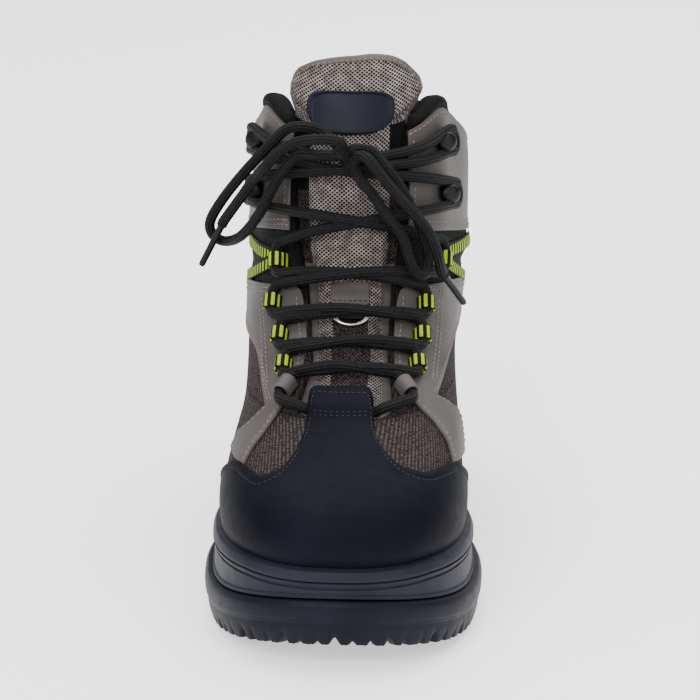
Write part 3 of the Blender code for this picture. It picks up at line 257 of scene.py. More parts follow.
# The last as a surface

def smooth(table, place):
    """A smooth curve through a table's rows; place counts rows from 0."""
    table = np.asarray(table, float)
    place = np.clip(np.asarray(place, float), 0, len(table) - 1)
    row = np.minimum(place.astype(int), len(table) - 2)
    step = (place - row)[..., None]
    here, after = table[row], table[row + 1]
    first = (row == 0)[..., None]
    final = (row == len(table) - 2)[..., None]
    before = np.where(first, 2 * here - after, table[np.maximum(row - 1, 0)])
    beyond = np.where(final, 2 * after - here, table[np.minimum(row + 2, len(table) - 1)])
    slope = after - before
    bend = 2 * before - 5 * here + 4 * after - beyond
    twist = 3 * here - before - 3 * after + beyond
    return here + 0.5 * (slope * step + bend * step**2 + twist * step**3)


def along(table, key):
    """The smooth value at key in a short table of (key, value) rows."""
    table = np.asarray(table, float)
    place = np.interp(key, table[:, 0], np.arange(len(table)))
    return smooth(table[:, 1:2], place)[..., 0]


def superellipse(share, power):
    return np.maximum(0, 1 - np.abs(share) ** power) ** (1 / power)


def eased(share):
    share = np.clip(share, 0, 1)
    return share * share * (3 - 2 * share)


def last(height, turn):
    """Points of the last: height 0 to 1, turn in degrees from the toe's middle."""
    height, turn = np.broadcast_arrays(np.asarray(height, float), np.asarray(turn, float))
    angle = np.radians(180 + turn)
    row = smooth(LAST_ROWS, height * (len(LAST_ROWS) - 1))
    part = dict(zip(LAST_COLUMNS, np.moveaxis(row, -1, 0)))
    way = (1 - np.cos(angle)) / 2
    reach = LENGTH * (part["back"] + (part["front"] - part["back"]) * way)
    heel = part["heel"] * SHAFT_WIDTH / 2
    middle = part["middle"] * SHAFT_WIDTH / 2
    ball = part["ball"] * UPPER_WIDTH / 2
    widths = np.stack([heel, heel, middle, ball, ball], -1)
    place = np.interp(way, WIDTH_STATIONS, np.arange(len(WIDTH_STATIONS)))
    index = np.minimum(place.astype(int), len(WIDTH_STATIONS) - 2)[..., None]
    low = np.take_along_axis(widths, index, -1)[..., 0]
    high = np.take_along_axis(widths, index + 1, -1)[..., 0]
    half = low + (high - low) * eased(place - index[..., 0])
    back_cap, front_cap = part["back_cap"], part["front_cap"]
    half = half * np.where(way < back_cap, superellipse(1 - way / back_cap, HEEL_POWER), 1)
    front_share = (way - 1 + front_cap) / front_cap
    half = half * np.where(front_share > 0, superellipse(front_share, part["power"]), 1)
    x = UPPER_WIDTH * along(BEND, reach / LENGTH) + np.where(np.sin(angle) >= 0, -1, 1) * half
    dip = part["dip"] * np.sin(pi * np.clip((way - 0.05) / 0.9, 0, 1))
    rise = part["back_rise"] + (part["front_rise"] - part["back_rise"]) * way - dip
    rise = rise + part["rim"] * along(RIM_WAVE, way)
    return np.stack([x, HEEL_REACH - reach, FEATHER_HEIGHT + UPPER_RISE * rise], -1)


def unit(vector):
    return vector / np.maximum(np.linalg.norm(vector, axis=-1, keepdims=True), 1e-12)


def frame_at(height, turn):
    """Upward, sideways (medial at the front) and outward directions on the last."""
    height, turn = np.broadcast_arrays(np.asarray(height, float), np.asarray(turn, float))
    upward = unit(last(np.minimum(height + 0.004, 1), turn) - last(np.maximum(height - 0.004, 0), turn))
    sideways = unit(last(height, turn + 2.0) - last(height, turn - 2.0))
    outward = unit(np.cross(sideways, upward))
    return upward, sideways, outward


def crease(height, turn):
    """Lift of the soft creases in the shaft and the quarters."""
    total = np.zeros(np.broadcast(height, turn).shape)
    for high, side, tall, wide, lift in CREASES:
        off = (np.asarray(turn) - side + 180) % 360 - 180
        total = total + lift * np.exp(-((height - high) / tall) ** 2 - (off / wide) ** 2)
    return total


def surface(height, turn, lift):
    """A point over the last; above the collar it follows the tongue's lean."""
    height, turn = np.broadcast_arrays(np.asarray(height, float), np.asarray(turn, float))
    clipped = np.clip(height, 0, 1)
    outward = frame_at(clipped, turn)[2]
    beyond = np.maximum(height - 1, 0)[..., None]
    climb = np.array([0.0, TONGUE_LEAN, TONGUE_RISE])
    lift = np.asarray(lift, float) + crease(clipped, turn)
    return last(clipped, turn) + lift[..., None] * outward + beyond * climb


def flat_axes(height, turn):
    """Perpendicular directions on the last: upward, across and outward."""
    upward, sideways, outward = frame_at(height, turn)
    across = unit(sideways - upward * np.sum(sideways * upward, -1, keepdims=True))
    return upward, across, outward


def throat_edges(height):
    """Turns of the throat's middle and of its half width at a height."""
    rows = np.asarray(THROAT, float)
    lateral = np.interp(height, rows[:, 0], rows[:, 1])
    medial = np.interp(height, rows[:, 0], rows[:, 2])
    return (lateral + medial) / 2, (medial - lateral) / 2


def tongue_half_turn(height):
    """Half the tongue's width in degrees; it widens over the collar."""
    return np.interp(height, (0.43, 0.50, 0.62, 0.80, 1.0, 1.06, 1.22),
                     (24.0, 25.0, 28.0, 36.0, 37.0, 37.0, 46.0))


def tongue_middle(height):
    """Turn of the tongue's middle: the throat's, and a little medial over the collar."""
    return throat_edges(height)[0] + np.interp(height, (1.04, 1.22), (0.0, 3.2))


def under_top(height, share):
    """Heights over the collar held under the tongue's rounded top edge."""
    top = np.asarray(TONGUE_TOP, float)
    turn = tongue_middle(2.0) + np.asarray(share) * tongue_half_turn(2.0)
    limit = along(top, np.clip(turn, top[0, 0], top[-1, 0]))
    return np.where(height > 1, 1 + (height - 1) * (limit - 1), height)


def tongue_lift(height, share):
    """Lift of the tongue's face: under the eyestays, and fuller in the throat."""
    under = -WALL - GAP - 0.0005
    full = np.interp(
        height, (TONGUE_FOOT, 0.47, 0.56, 0.97, 1.05, 2.0),
        (0.0, 0.0006, 0.0034, 0.0034, 0.0030, 0.0010))
    throat = throat_edges(height)[1] - 2.8
    free = 0.95 * tongue_half_turn(height)
    room = throat + (free - throat) * np.interp(height, (1.06, 1.30), (0.0, 1.0))
    off = np.abs(share) * tongue_half_turn(height)
    return under + full * eased((room - off) / 9.0)


def tongue_surface(height, share, lift=0.0):
    """A point over the tongue's face: share -1 to 1 across it."""
    height, share = np.broadcast_arrays(np.asarray(height, float), np.asarray(share, float))
    turn = tongue_middle(height) + share * tongue_half_turn(height)
    return surface(height, turn, tongue_lift(height, share) + lift)


# Materials

def put(tree, kind, inputs=(), **settings):
    """A node with its settings; inputs are (socket, value or link) pairs."""
    made = tree.nodes.new(kind)
    for key, setting in settings.items():
        setattr(made, key, setting)
    for socket, given in inputs:
        if isinstance(given, bpy.types.NodeSocket):
            tree.links.new(given, made.inputs[socket])
        else:
            made.inputs[socket].default_value = given
    return made


def reckon(tree, operation, *values):
    return put(tree, "ShaderNodeMath", enumerate(values), operation=operation).outputs[0]


def ramp(tree, factor, *stops):
    """A colour ramp; each stop is (place, colour)."""
    made = put(tree, "ShaderNodeValToRGB", ((0, factor),))
    elements = made.color_ramp.elements
    while len(elements) < len(stops):
        elements.new(0.5)
    for element, (place, color) in zip(elements, stops):
        element.position = place
        element.color = (*color, 1.0)
    return made.outputs[0]


def finish_paint(name, roughness, **sockets):
    """A new material with a shader whose plain sockets are set."""
    made = bpy.data.materials.new(name)
    made.use_nodes = True
    shader = made.node_tree.nodes["Principled BSDF"]
    shader.inputs["Roughness"].default_value = roughness
    for key, setting in sockets.items():
        shader.inputs[key.replace("_", " ")].default_value = setting
    return made, made.node_tree, shader


def place_on(tree, source):
    return put(tree, "ShaderNodeTexCoord").outputs[source]


def noise(tree, vector, scale, detail=2.0):
    made = put(tree, "ShaderNodeTexNoise", (("Vector", vector), ("Scale", scale), ("Detail", detail)))
    return made.outputs[0]


def cells(tree, vector, scale):
    made = put(tree, "ShaderNodeTexVoronoi", (("Vector", vector), ("Scale", scale)))
    return made.outputs[0]


def bump(tree, shader, height, distance, strength=1.0):
    made = put(tree, "ShaderNodeBump", (
        ("Strength", strength), ("Distance", distance), ("Height", height)))
    tree.links.new(made.outputs[0], shader.inputs["Normal"])


def blend_color(tree, factor, first, second):
    made = put(tree, "ShaderNodeMix", ((0, factor), (6, first), (7, second)), data_type="RGBA")
    return made.outputs[2]


def wave(tree, phase):
    """A ridge between 0 and 1 that repeats once a unit of phase."""
    turned = reckon(tree, "MULTIPLY", phase, 2 * pi)
    return reckon(tree, "MULTIPLY_ADD", reckon(tree, "COSINE", turned), 0.5, 0.5)


def crossed_threads(tree, across, along_it, wide, tall):
    """Threads along both diagonals of a lattice: 1 on a thread, 0 in a hole."""
    u = reckon(tree, "DIVIDE", across, wide)
    v = reckon(tree, "DIVIDE", along_it, tall)
    first = wave(tree, reckon(tree, "ADD", u, v))
    second = wave(tree, reckon(tree, "SUBTRACT", u, v))
    return reckon(tree, "MAXIMUM", first, second)


def uv_pair(tree):
    parts = put(tree, "ShaderNodeSeparateXYZ", ((0, place_on(tree, "UV")),))
    return parts.outputs[0], parts.outputs[1]


def rubber_paint(name, color, roughness, grain, dust, shine=0.11):
    """Moulded rubber: a fine grain, slow changes of gloss and a trace of dust."""
    made, tree, shader = finish_paint(name, roughness, Specular_IOR_Level=shine)
    spot = place_on(tree, "Object")
    slow = noise(tree, spot, 28.0, 3.0)
    light = tuple(min(1.0, 1.55 * part + dust) for part in color)
    tree.links.new(ramp(tree, slow, (0.36, color), (0.72, light)), shader.inputs["Base Color"])
    gloss = put(tree, "ShaderNodeMapRange", ((0, noise(tree, spot, 160.0)), (3, roughness - 0.07),
                                             (4, roughness + 0.10)))
    tree.links.new(gloss.outputs[0], shader.inputs["Roughness"])
    bump(tree, shader, noise(tree, spot, grain, 4.0), 0.00012, 0.60)
    return made


def leather_paint(name, color):
    """Smooth coated leather: a fine grain, faint clouds and worn high spots."""
    made, tree, shader = finish_paint(name, 0.56, Specular_IOR_Level=0.25)
    spot = place_on(tree, "Object")
    clouds = noise(tree, spot, 45.0, 5.0)
    dark = tuple(part * 0.80 for part in color)
    light = tuple(part * 1.16 for part in color)
    tree.links.new(ramp(tree, clouds, (0.30, dark), (0.52, color), (0.74, light)),
                   shader.inputs["Base Color"])
    pores = cells(tree, spot, 1500.0)
    fine = noise(tree, spot, 3200.0, 2.0)
    both = reckon(tree, "MULTIPLY_ADD", fine, 0.4, pores)
    bump(tree, shader, both, 0.00012, 0.40)
    return made


def mesh_paint(name, thread, shade, wide, tall, cut, speck=None):
    """Knitted mesh on its own UV map: threads over dark holes, some threads lighter."""
    made, tree, shader = finish_paint(name, 0.78, Specular_IOR_Level=0.14)
    u, v = uv_pair(tree)
    threads = crossed_threads(tree, u, v, wide, tall)
    spot = place_on(tree, "Object")
    change = noise(tree, spot, 260.0, 2.0)
    light = tuple(min(1.0, part * 1.6) for part in thread)
    yarn = ramp(tree, change, (0.36, thread), (0.66, speck or light))
    shown = put(tree, "ShaderNodeMapRange", ((0, threads), (1, cut - 0.14), (2, cut + 0.14)),
                interpolation_type="SMOOTHSTEP").outputs[0]
    tree.links.new(blend_color(tree, shown, (*shade, 1.0), yarn), shader.inputs["Base Color"])
    bump(tree, shader, threads, 0.00045, 0.70)
    return made


def knit_paint(name, color, glint, wide, tall):
    """Fine cloth: small dashes of lighter yarn in rows over a dark ground."""
    made, tree, shader = finish_paint(name, 0.85, Specular_IOR_Level=0.12)
    u, v = uv_pair(tree)
    slope = reckon(tree, "MULTIPLY_ADD", reckon(tree, "ABSOLUTE", u), -0.45, v)
    rib = reckon(tree, "DIVIDE", slope, tall)
    rows = wave(tree, rib)
    shift = reckon(tree, "MULTIPLY", reckon(tree, "ROUND", rib), 0.5)
    dashes = wave(tree, reckon(tree, "ADD", reckon(tree, "DIVIDE", u, wide), shift))
    knit = reckon(tree, "MULTIPLY", rows, dashes)
    # Painted glint: the knit's loops are painted towards the glint colour, in random patches.
    glint_patches = noise(tree, place_on(tree, "Object"), 900.0, 1.0)
    lit = reckon(tree, "MULTIPLY", knit, ramp_value(tree, glint_patches, 0.30, 0.62))
    tree.links.new(ramp(tree, lit, (0.18, color), (0.62, glint)), shader.inputs["Base Color"])
    bump(tree, shader, knit, 0.00030, 0.6)
    return made


def ramp_value(tree, factor, low, high):
    made = put(tree, "ShaderNodeMapRange", ((0, factor), (1, low), (2, high)),
               interpolation_type="SMOOTHSTEP")
    return made.outputs[0]


def webbing_paint(name, bright, dark, pitch, share, width=None):
    """Webbing with bars of bright yarn across it, on its own UV map."""
    made, tree, shader = finish_paint(name, 0.70, Specular_IOR_Level=0.12)
    u, v = uv_pair(tree)
    bars = wave(tree, reckon(tree, "DIVIDE", u, pitch))
    ribs = wave(tree, reckon(tree, "DIVIDE", v, 0.0007))
    wobble = reckon(tree, "MULTIPLY_ADD", ribs, 0.10, bars)
    shown = ramp_value(tree, wobble, 1.0 - share - 0.10, 1.0 - share + 0.10)
    if width:
        edge = reckon(tree, "MINIMUM", v, reckon(tree, "SUBTRACT", width, v))
        shown = reckon(tree, "MULTIPLY", shown, ramp_value(tree, edge, 0.0003, 0.0006))
    yarn = ramp(tree, noise(tree, place_on(tree, "Object"), 700.0), (0.3, tuple(0.75 * p for p in bright)),
                (0.7, bright))
    tree.links.new(blend_color(tree, shown, (*dark, 1.0), yarn), shader.inputs["Base Color"])
    bump(tree, shader, reckon(tree, "ADD", bars, ribs), 0.00022, 0.7)
    return made


def cord_paint(name, color, glint):
    """Braided lace: two sets of strands wind round it and cross over."""
    made, tree, shader = finish_paint(name, 0.66, Specular_IOR_Level=0.14)
    u, v = uv_pair(tree)
    strand_way = reckon(tree, "MULTIPLY", v, 10.0)
    strands = wave(tree, strand_way)
    odd = reckon(tree, "MULTIPLY", reckon(tree, "ROUND", strand_way), 0.5)
    weave = wave(tree, reckon(tree, "ADD", reckon(tree, "DIVIDE", u, 0.0013), odd))
    height = reckon(tree, "MULTIPLY_ADD", weave, 0.45, strands)
    # Painted sheen: the strands' tops are painted towards the glint colour, the grooves stay dark as painted
    # shade, and random patches vary how much sheen shows.
    random_patches = noise(tree, place_on(tree, "Object"), 700.0, 2.0)
    ridge_sheen = reckon(tree, "MULTIPLY", height, ramp_value(tree, random_patches, 0.10, 0.60))
    tree.links.new(ramp(tree, ridge_sheen, (0.25, color), (1.30, glint)), shader.inputs["Base Color"])
    bump(tree, shader, height, 0.00040, 0.90)
    return made


def metal_paint(name, color, roughness, metallic, coat, shine):
    """Metal or enamel with lighter worn spots and a gloss that changes over it."""
    made, tree, shader = finish_paint(
        name, roughness, Metallic=metallic, Coat_Weight=coat, Specular_IOR_Level=shine)
    spot = place_on(tree, "Object")
    worn = noise(tree, spot, 420.0, 3.0)
    light = tuple(min(1.0, part * 1.5 + 0.01) for part in color)
    tree.links.new(ramp(tree, worn, (0.55, color), (0.80, light)), shader.inputs["Base Color"])
    rough = put(tree, "ShaderNodeMapRange", ((0, worn), (3, roughness), (4, roughness + 0.16)))
    tree.links.new(rough.outputs[0], shader.inputs["Roughness"])
    return made


def thread_paint(name, color):
    made, tree, shader = finish_paint(name, 0.75, Specular_IOR_Level=0.15)
    random_patches = noise(tree, place_on(tree, "Object"), 1200.0, 2.0)
    dark = tuple(part * 0.6 for part in color)
    tree.links.new(ramp(tree, random_patches, (0.3, dark), (0.65, color)), shader.inputs["Base Color"])
    bump(tree, shader, random_patches, 0.00015, 0.5)
    return made


def floor_paint(name, color):
    made, tree, shader = finish_paint(name, 0.85, Emission_Color=(1.0, 1.0, 1.0, 1.0), Emission_Strength=0.8)
    drift = noise(tree, place_on(tree, "Object"), 3.0)
    dim = tuple(part * 0.985 for part in color)
    tree.links.new(ramp(tree, drift, (0.3, dim), (0.7, color)), shader.inputs["Base Color"])
    return made


def make_paints(look):
    """Every material of the boot, by name."""
    taupe = tuple(look.leather_color)
    lime = tuple(look.lime_color)
    rubber = tuple(look.rubber_color)
    night = (0.0025, 0.0025, 0.0030)
    return {
        "cap": rubber_paint("cap_rubber", rubber, 0.62, 2600.0, 0.0005, 0.055),
        "sole": rubber_paint("sole_rubber", tuple(1.3 * part + 0.0006 for part in rubber),
                             0.48, 1400.0, 0.0012, 0.09),
        "foam": rubber_paint("midsole_foam", tuple(2.0 * part + 0.0062 for part in rubber),
                             0.54, 2000.0, 0.0010),
        "badge": rubber_paint("badge_rubber", (0.0042, 0.0050, 0.0105), 0.40, 3200.0, 0.0003),
        "leather": leather_paint("panel_leather", taupe),
        "counter": leather_paint("counter_leather", tuple(0.97 * part for part in taupe)),
        # The second colour given to each knit_paint cloth is a painted glint on the knit's loops.
        "insole": knit_paint("insole_cloth", (0.006, 0.006, 0.007), (0.022, 0.022, 0.025), 0.0016, 0.0016),
        "mesh": knit_paint("upper_mesh", (0.0125, 0.0096, 0.0094), (0.110, 0.090, 0.082), 0.0017, 0.0011),
        "ankle": knit_paint("ankle_mesh", (0.0022, 0.0022, 0.0024), (0.030, 0.028, 0.026), 0.0015, 0.0012),
        "fine": knit_paint("tongue_cloth", (0.0080, 0.0062, 0.0060), (0.100, 0.082, 0.075), 0.0012, 0.0010),
        "open": mesh_paint("tongue_mesh", (0.150, 0.122, 0.112), (0.0040, 0.0034, 0.0034),
                           0.0021, 0.0018, 0.86, (0.330, 0.285, 0.262)),
        "lining": knit_paint("lining_cloth", (0.0020, 0.0020, 0.0023), (0.0075, 0.0075, 0.0085),
                             0.0012, 0.0010),
        "loop": webbing_paint("loop_webbing", lime, night, 0.0026, 0.40),
        "strap": webbing_paint("ankle_webbing", lime, night, 0.0034, 0.38, 0.0056),
        # The lace cord's second colour is a painted sheen on its strands.
        "cord": cord_paint("lace_cord", (0.0009, 0.0009, 0.0011), (0.0075, 0.0075, 0.0088)),
        "hook": metal_paint("hook_metal", (0.0014, 0.0014, 0.0017), 0.34, 0.0, 0.0, 0.20),
        "steel": metal_paint("ring_steel", (0.62, 0.62, 0.62), 0.22, 1.0, 0.0, 0.5),
        "tip": rubber_paint("aglet_plastic", (0.006, 0.006, 0.007), 0.30, 900.0, 0.0),
        "thread": thread_paint("taupe_thread", (0.190, 0.168, 0.154)),
        "dark_thread": thread_paint("dark_thread", (0.026, 0.025, 0.029)),
    }


PAINTS = {}


# Making pieces

def select_only(made):
    bpy.ops.object.select_all(action="DESELECT")
    made.select_set(True)
    bpy.context.view_layer.objects.active = made


def apply_all(made):
    select_only(made)
    for modifier in list(made.modifiers):
        bpy.ops.object.modifier_apply(modifier=modifier.name)


def metric_uv(points):
    """Arc lengths in metres across and along a grid of points."""
    across = np.linalg.norm(np.diff(points, axis=1), axis=-1)
    up = np.linalg.norm(np.diff(points, axis=0), axis=-1)
    u = np.concatenate([np.zeros((len(points), 1)), np.cumsum(across, axis=1)], axis=1)
    v = np.concatenate([np.zeros((1, points.shape[1])), np.cumsum(up, axis=0)], axis=0)
    return np.stack([u - u[:, -1:] / 2, v], -1)


def between(rows, share):
    """Heights and turns at shares of the way from the inner to the outer edge of rows."""
    height = rows[:, None, 0] + (rows[:, None, 2] - rows[:, None, 0]) * share
    turn = rows[:, None, 1] + (rows[:, None, 3] - rows[:, None, 1]) * share
    return height, turn


def in_edit_mode(made, step):
    """Runs an edit-mode step on all of a piece's mesh."""
    select_only(made)
    bpy.ops.object.mode_set(mode="EDIT")
    bpy.ops.mesh.select_all(action="SELECT")
    step()
    bpy.ops.object.mode_set(mode="OBJECT")


def link_mesh(name, mesh, paint):
    """A new object for a mesh, with its paint."""
    mesh.materials.append(PAINTS[paint])
    made = bpy.data.objects.new(name, mesh)
    bpy.context.scene.collection.objects.link(made)
    return made


def built(name, mesh_data, paint):
    """A new object from edited mesh data, with its faces turned outwards."""
    bmesh.ops.recalc_face_normals(mesh_data, faces=mesh_data.faces)
    mesh = bpy.data.meshes.new(name)
    mesh_data.to_mesh(mesh)
    mesh_data.free()
    return link_mesh(name, mesh, paint)


def grid_piece(name, points, paints, out=None, uv=None, zones=None, weld=False):
    """A primitive grid whose corners are moved to rows and columns of points."""
    rows, columns = points.shape[:2]
    uv = metric_uv(points) if uv is None else uv
    if out is not None:
        middle = points[rows // 2, columns // 2]
        side = points[rows // 2, columns // 2 + 1] - middle
        up = points[rows // 2 + 1, columns // 2] - middle
        if np.dot(np.cross(side, up), out) < 0:
            points, uv = points[:, ::-1], uv[:, ::-1]
            zones = None if zones is None else zones[:, ::-1]
    bpy.ops.object.select_all(action="DESELECT")
    bpy.ops.mesh.primitive_grid_add(x_subdivisions=columns - 1, y_subdivisions=rows - 1, size=1.0)
    made = bpy.context.object
    made.name = name
    mesh = made.data
    mesh.name = name
    flat = np.empty(len(mesh.vertices) * 3)
    mesh.vertices.foreach_get("co", flat)
    flat = flat.reshape(-1, 3)
    column = np.rint((flat[:, 0] + 0.5) * (columns - 1)).astype(int)
    row = np.rint((flat[:, 1] + 0.5) * (rows - 1)).astype(int)
    corners = np.empty(len(mesh.loops), int)
    mesh.loops.foreach_get("vertex_index", corners)
    if not mesh.uv_layers:
        mesh.uv_layers.new(name="UVMap")
    mesh.uv_layers.active.data.foreach_set("uv", uv[row[corners], column[corners]].ravel())
    for paint in paints if isinstance(paints, (tuple, list)) else (paints,):
        mesh.materials.append(PAINTS[paint])
    if zones is not None:
        first = corners.reshape(-1, 4)
        low_row, low_column = row[first].min(1), column[first].min(1)
        mesh.polygons.foreach_set("material_index", zones[low_row, low_column].astype(np.int32))
    mesh.vertices.foreach_set("co", points[row, column].ravel())
    mesh.update()
    if weld:
        in_edit_mode(made, lambda: bpy.ops.mesh.remove_doubles(threshold=0.00002))
    return made


def give_wall(made, thickness, offset=1.0, bevel=0.0, inner_paint=0):
    """Thickens a sheet, softens its rim and shades it smooth."""
    wall = made.modifiers.new("wall", "SOLIDIFY")
    wall.thickness = thickness
    wall.offset = offset
    wall.use_quality_normals = True
    wall.material_offset = inner_paint
    if bevel:
        soft = made.modifiers.new("soft_rim", "BEVEL")
        soft.width = bevel
        soft.segments = 3
        soft.limit_method = "ANGLE"
        soft.angle_limit = radians(55)
    apply_all(made)
    return smoothed(made)


def smoothed(made, angle=42.0):
    select_only(made)
    bpy.ops.object.shade_smooth_by_angle(angle=radians(angle))
    return made


def seat(made, slot, *nodes):
    """The piece rides on the boot, takes its slot and stands for CAD nodes."""
    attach(made, "root")
    if nodes:
        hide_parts(*nodes)
    return made


def seat_closed(made, angle, slot, *nodes):
    """A closed piece with its faces outwards, shaded smooth and seated."""
    in_edit_mode(made, lambda: bpy.ops.mesh.normals_make_consistent(inside=False))
    smoothed(made, angle)
    return seat(made, slot, *nodes)


def even_rows(rows, samples, soften):
    """Edge rows evenly spaced along their outer edge, with corners rounded over a few rows."""
    rows = np.asarray(rows, float)
    fine = np.linspace(0, len(rows) - 1, 60 * (len(rows) - 1) + 1)
    rows = np.stack([np.interp(fine, np.arange(len(rows)), column) for column in rows.T], -1)
    run = path_lengths(last(rows[:, 2], rows[:, 3]) + last(rows[:, 0], rows[:, 1]))
    stops = np.linspace(0, run[-1], samples)
    rows = np.stack([np.interp(stops, run, column) for column in rows.T], -1)
    weights = np.exp(-0.5 * (np.arange(-3 * soften, 3 * soften + 1) / soften) ** 2)
    padded = np.concatenate([2 * rows[0] - rows[3 * soften:0:-1], rows,
                             2 * rows[-1] - rows[-2:-3 * soften - 2:-1]])
    return np.stack([np.convolve(column, weights / weights.sum(), "valid") for column in padded.T], -1)


def panel_grid(rows, side, samples, across, lift, soften=3):
    """Points between two edges; each row is (inner height, turn, outer height, turn)."""
    height, turn = between(even_rows(rows, samples, soften), np.linspace(0, 1, across + 1))
    turn = side * turn
    return surface(height, turn, lift + 0 * height), height, turn


def outward_at(height, turn):
    """The outward direction in the middle of a grid of places."""
    rows, columns = height.shape
    return frame_at(height[rows // 2, columns // 2], turn[rows // 2, columns // 2])[2]


def panel(name, rows, side, samples, across, lift, thickness, paint, slot, nodes, bevel=0.0005):
    points, height, turn = panel_grid(rows, side, samples, across, lift)
    made = grid_piece(name, points, paint, outward_at(height, turn))
    give_wall(made, thickness, bevel=bevel)
    return seat(made, slot, *nodes)


def tube_points(path, diameter, sides):
    """Rings of points round a path, carried along it without twisting."""
    path = np.asarray(path, float)
    heading = unit(np.gradient(path, axis=0))
    normal = np.cross(heading[0], (0.0, 0.0, 1.0))
    if np.linalg.norm(normal) < 0.1:
        normal = np.cross(heading[0], (1.0, 0.0, 0.0))
    rings = []
    angle = np.linspace(0, 2 * pi, sides + 1)
    for point, way in zip(path, heading):
        normal = unit(normal - way * np.dot(normal, way))
        other = np.cross(way, normal)
        circle = np.cos(angle)[:, None] * normal + np.sin(angle)[:, None] * other
        rings.append(point + circle * diameter / 2)
    return np.array(rings)


def path_lengths(path):
    return np.concatenate([[0], np.cumsum(np.linalg.norm(np.diff(path, axis=0), axis=1))])


def cord_tube(name, path, diameter, paint, sides=14):
    """A round tube along a path with closed ends and a UV map in metres and turns."""
    rings = tube_points(path, diameter, sides)
    run = path_lengths(path)
    start, end = np.asarray(path[0], float), np.asarray(path[-1], float)
    low = [start + (rings[0] - start) * size for size in (0.0, 0.72)]
    high = [end + (rings[-1] - end) * size for size in (0.72, 0.0)]
    points = np.concatenate([low, rings, high])
    length = np.concatenate([[run[0], run[0]], run, [run[-1], run[-1]]])
    around = np.linspace(0, 1, sides + 1)
    uv = np.stack(np.broadcast_arrays(length[:, None], around[None, :]), -1)
    out = rings[len(rings) // 2, sides // 2] - path[len(rings) // 2]
    made = grid_piece(name, points, paint, out, uv, weld=True)
    return smoothed(made, 60.0)


def dense(path, steps):
    """A smooth curve through a path's points, with several steps between each two."""
    path = np.asarray(path, float)
    return smooth(path, np.linspace(0, len(path) - 1, steps * (len(path) - 1) + 1))


# Stitches

def even_line(points, outs, pitch):
    """Places a pitch apart on a line of points, with their directions."""
    run = path_lengths(points)
    count = max(2, int(run[-1] / pitch))
    stops = (np.arange(count) + 0.5) * run[-1] / count
    place = np.stack([np.interp(stops, run, points[:, k]) for k in range(3)], -1)
    ahead = np.stack([np.interp(stops + 0.0004, run, points[:, k]) for k in range(3)], -1)
    behind = np.stack([np.interp(stops - 0.0004, run, points[:, k]) for k in range(3)], -1)
    out = unit(np.stack([np.interp(stops, run, outs[:, k]) for k in range(3)], -1))
    return place, unit(ahead - behind), out


def stitch_piece(name, lines, paint, slot, pitch=0.0029, length=0.0021, thick=0.00062):
    """Rows of stitches as one mesh of short threads that dip in at both ends."""
    sides = 6
    stations = ((-0.50, 0.30, -0.55), (-0.36, 0.85, 0.0), (0.0, 1.0, 0.25), (0.36, 0.85, 0.0),
                (0.50, 0.30, -0.55))
    vertices, faces = [], []
    for points, outs in lines:
        place, way, out = even_line(np.asarray(points), np.asarray(outs), pitch)
        side = np.cross(way, out)
        for centre, ahead, across, up in zip(place, way, side, out):
            start = len(vertices)
            for shift, size, dip in stations:
                for k in range(sides):
                    angle = 2 * pi * k / sides
                    vertices.append(
                        centre + ahead * shift * length + up * (dip + size * sin(angle)) * thick / 2
                        + across * size * cos(angle) * thick / 2)
            for ring in range(len(stations) - 1):
                for k in range(sides):
                    a, b = start + ring * sides + k, start + ring * sides + (k + 1) % sides
                    faces.append((a, b, b + sides, a + sides))
            faces.append(tuple(start + k for k in range(sides - 1, -1, -1)))
            end = start + (len(stations) - 1) * sides
            faces.append(tuple(end + k for k in range(sides)))
    mesh = bpy.data.meshes.new(name)
    mesh.from_pydata([tuple(vertex) for vertex in vertices], [], faces)
    made = link_mesh(name, mesh, paint)
    repaired = bmesh.new()
    repaired.from_mesh(mesh)
    bmesh.ops.recalc_face_normals(repaired, faces=repaired.faces)
    repaired.to_mesh(mesh)
    repaired.free()
    smoothed(made, 60.0)
    return seat(made, slot)


def on_last(places, lift):
    """A fine line over the last through (height, turn) places, with outward directions."""
    places = np.asarray(places, float)
    fine = smooth(places, np.linspace(0, len(places) - 1, 24 * (len(places) - 1) + 1))
    points = surface(fine[:, 0], fine[:, 1], lift + 0 * fine[:, 0])
    return points, frame_at(np.clip(fine[:, 0], 0, 1), fine[:, 1])[2]


def inset_line(rows, side, from_inner, distance, lift, start=0.0, end=None):
    """A line at a distance in metres from a panel's inner or outer edge."""
    rows = np.asarray(rows, float)
    end = len(rows) - 1 if end is None else end
    fine = smooth(rows, np.linspace(start, end, 160))
    inner = last(fine[:, 0], side * fine[:, 1])
    outer = last(fine[:, 2], side * fine[:, 3])
    share = distance / np.linalg.norm(outer - inner, axis=-1)
    share = share if from_inner else 1 - share
    height = fine[:, 0] + (fine[:, 2] - fine[:, 0]) * share
    turn = side * (fine[:, 1] + (fine[:, 3] - fine[:, 1]) * share)
    return surface(height, turn, lift + 0 * height), frame_at(height, turn)[2]


# Upper

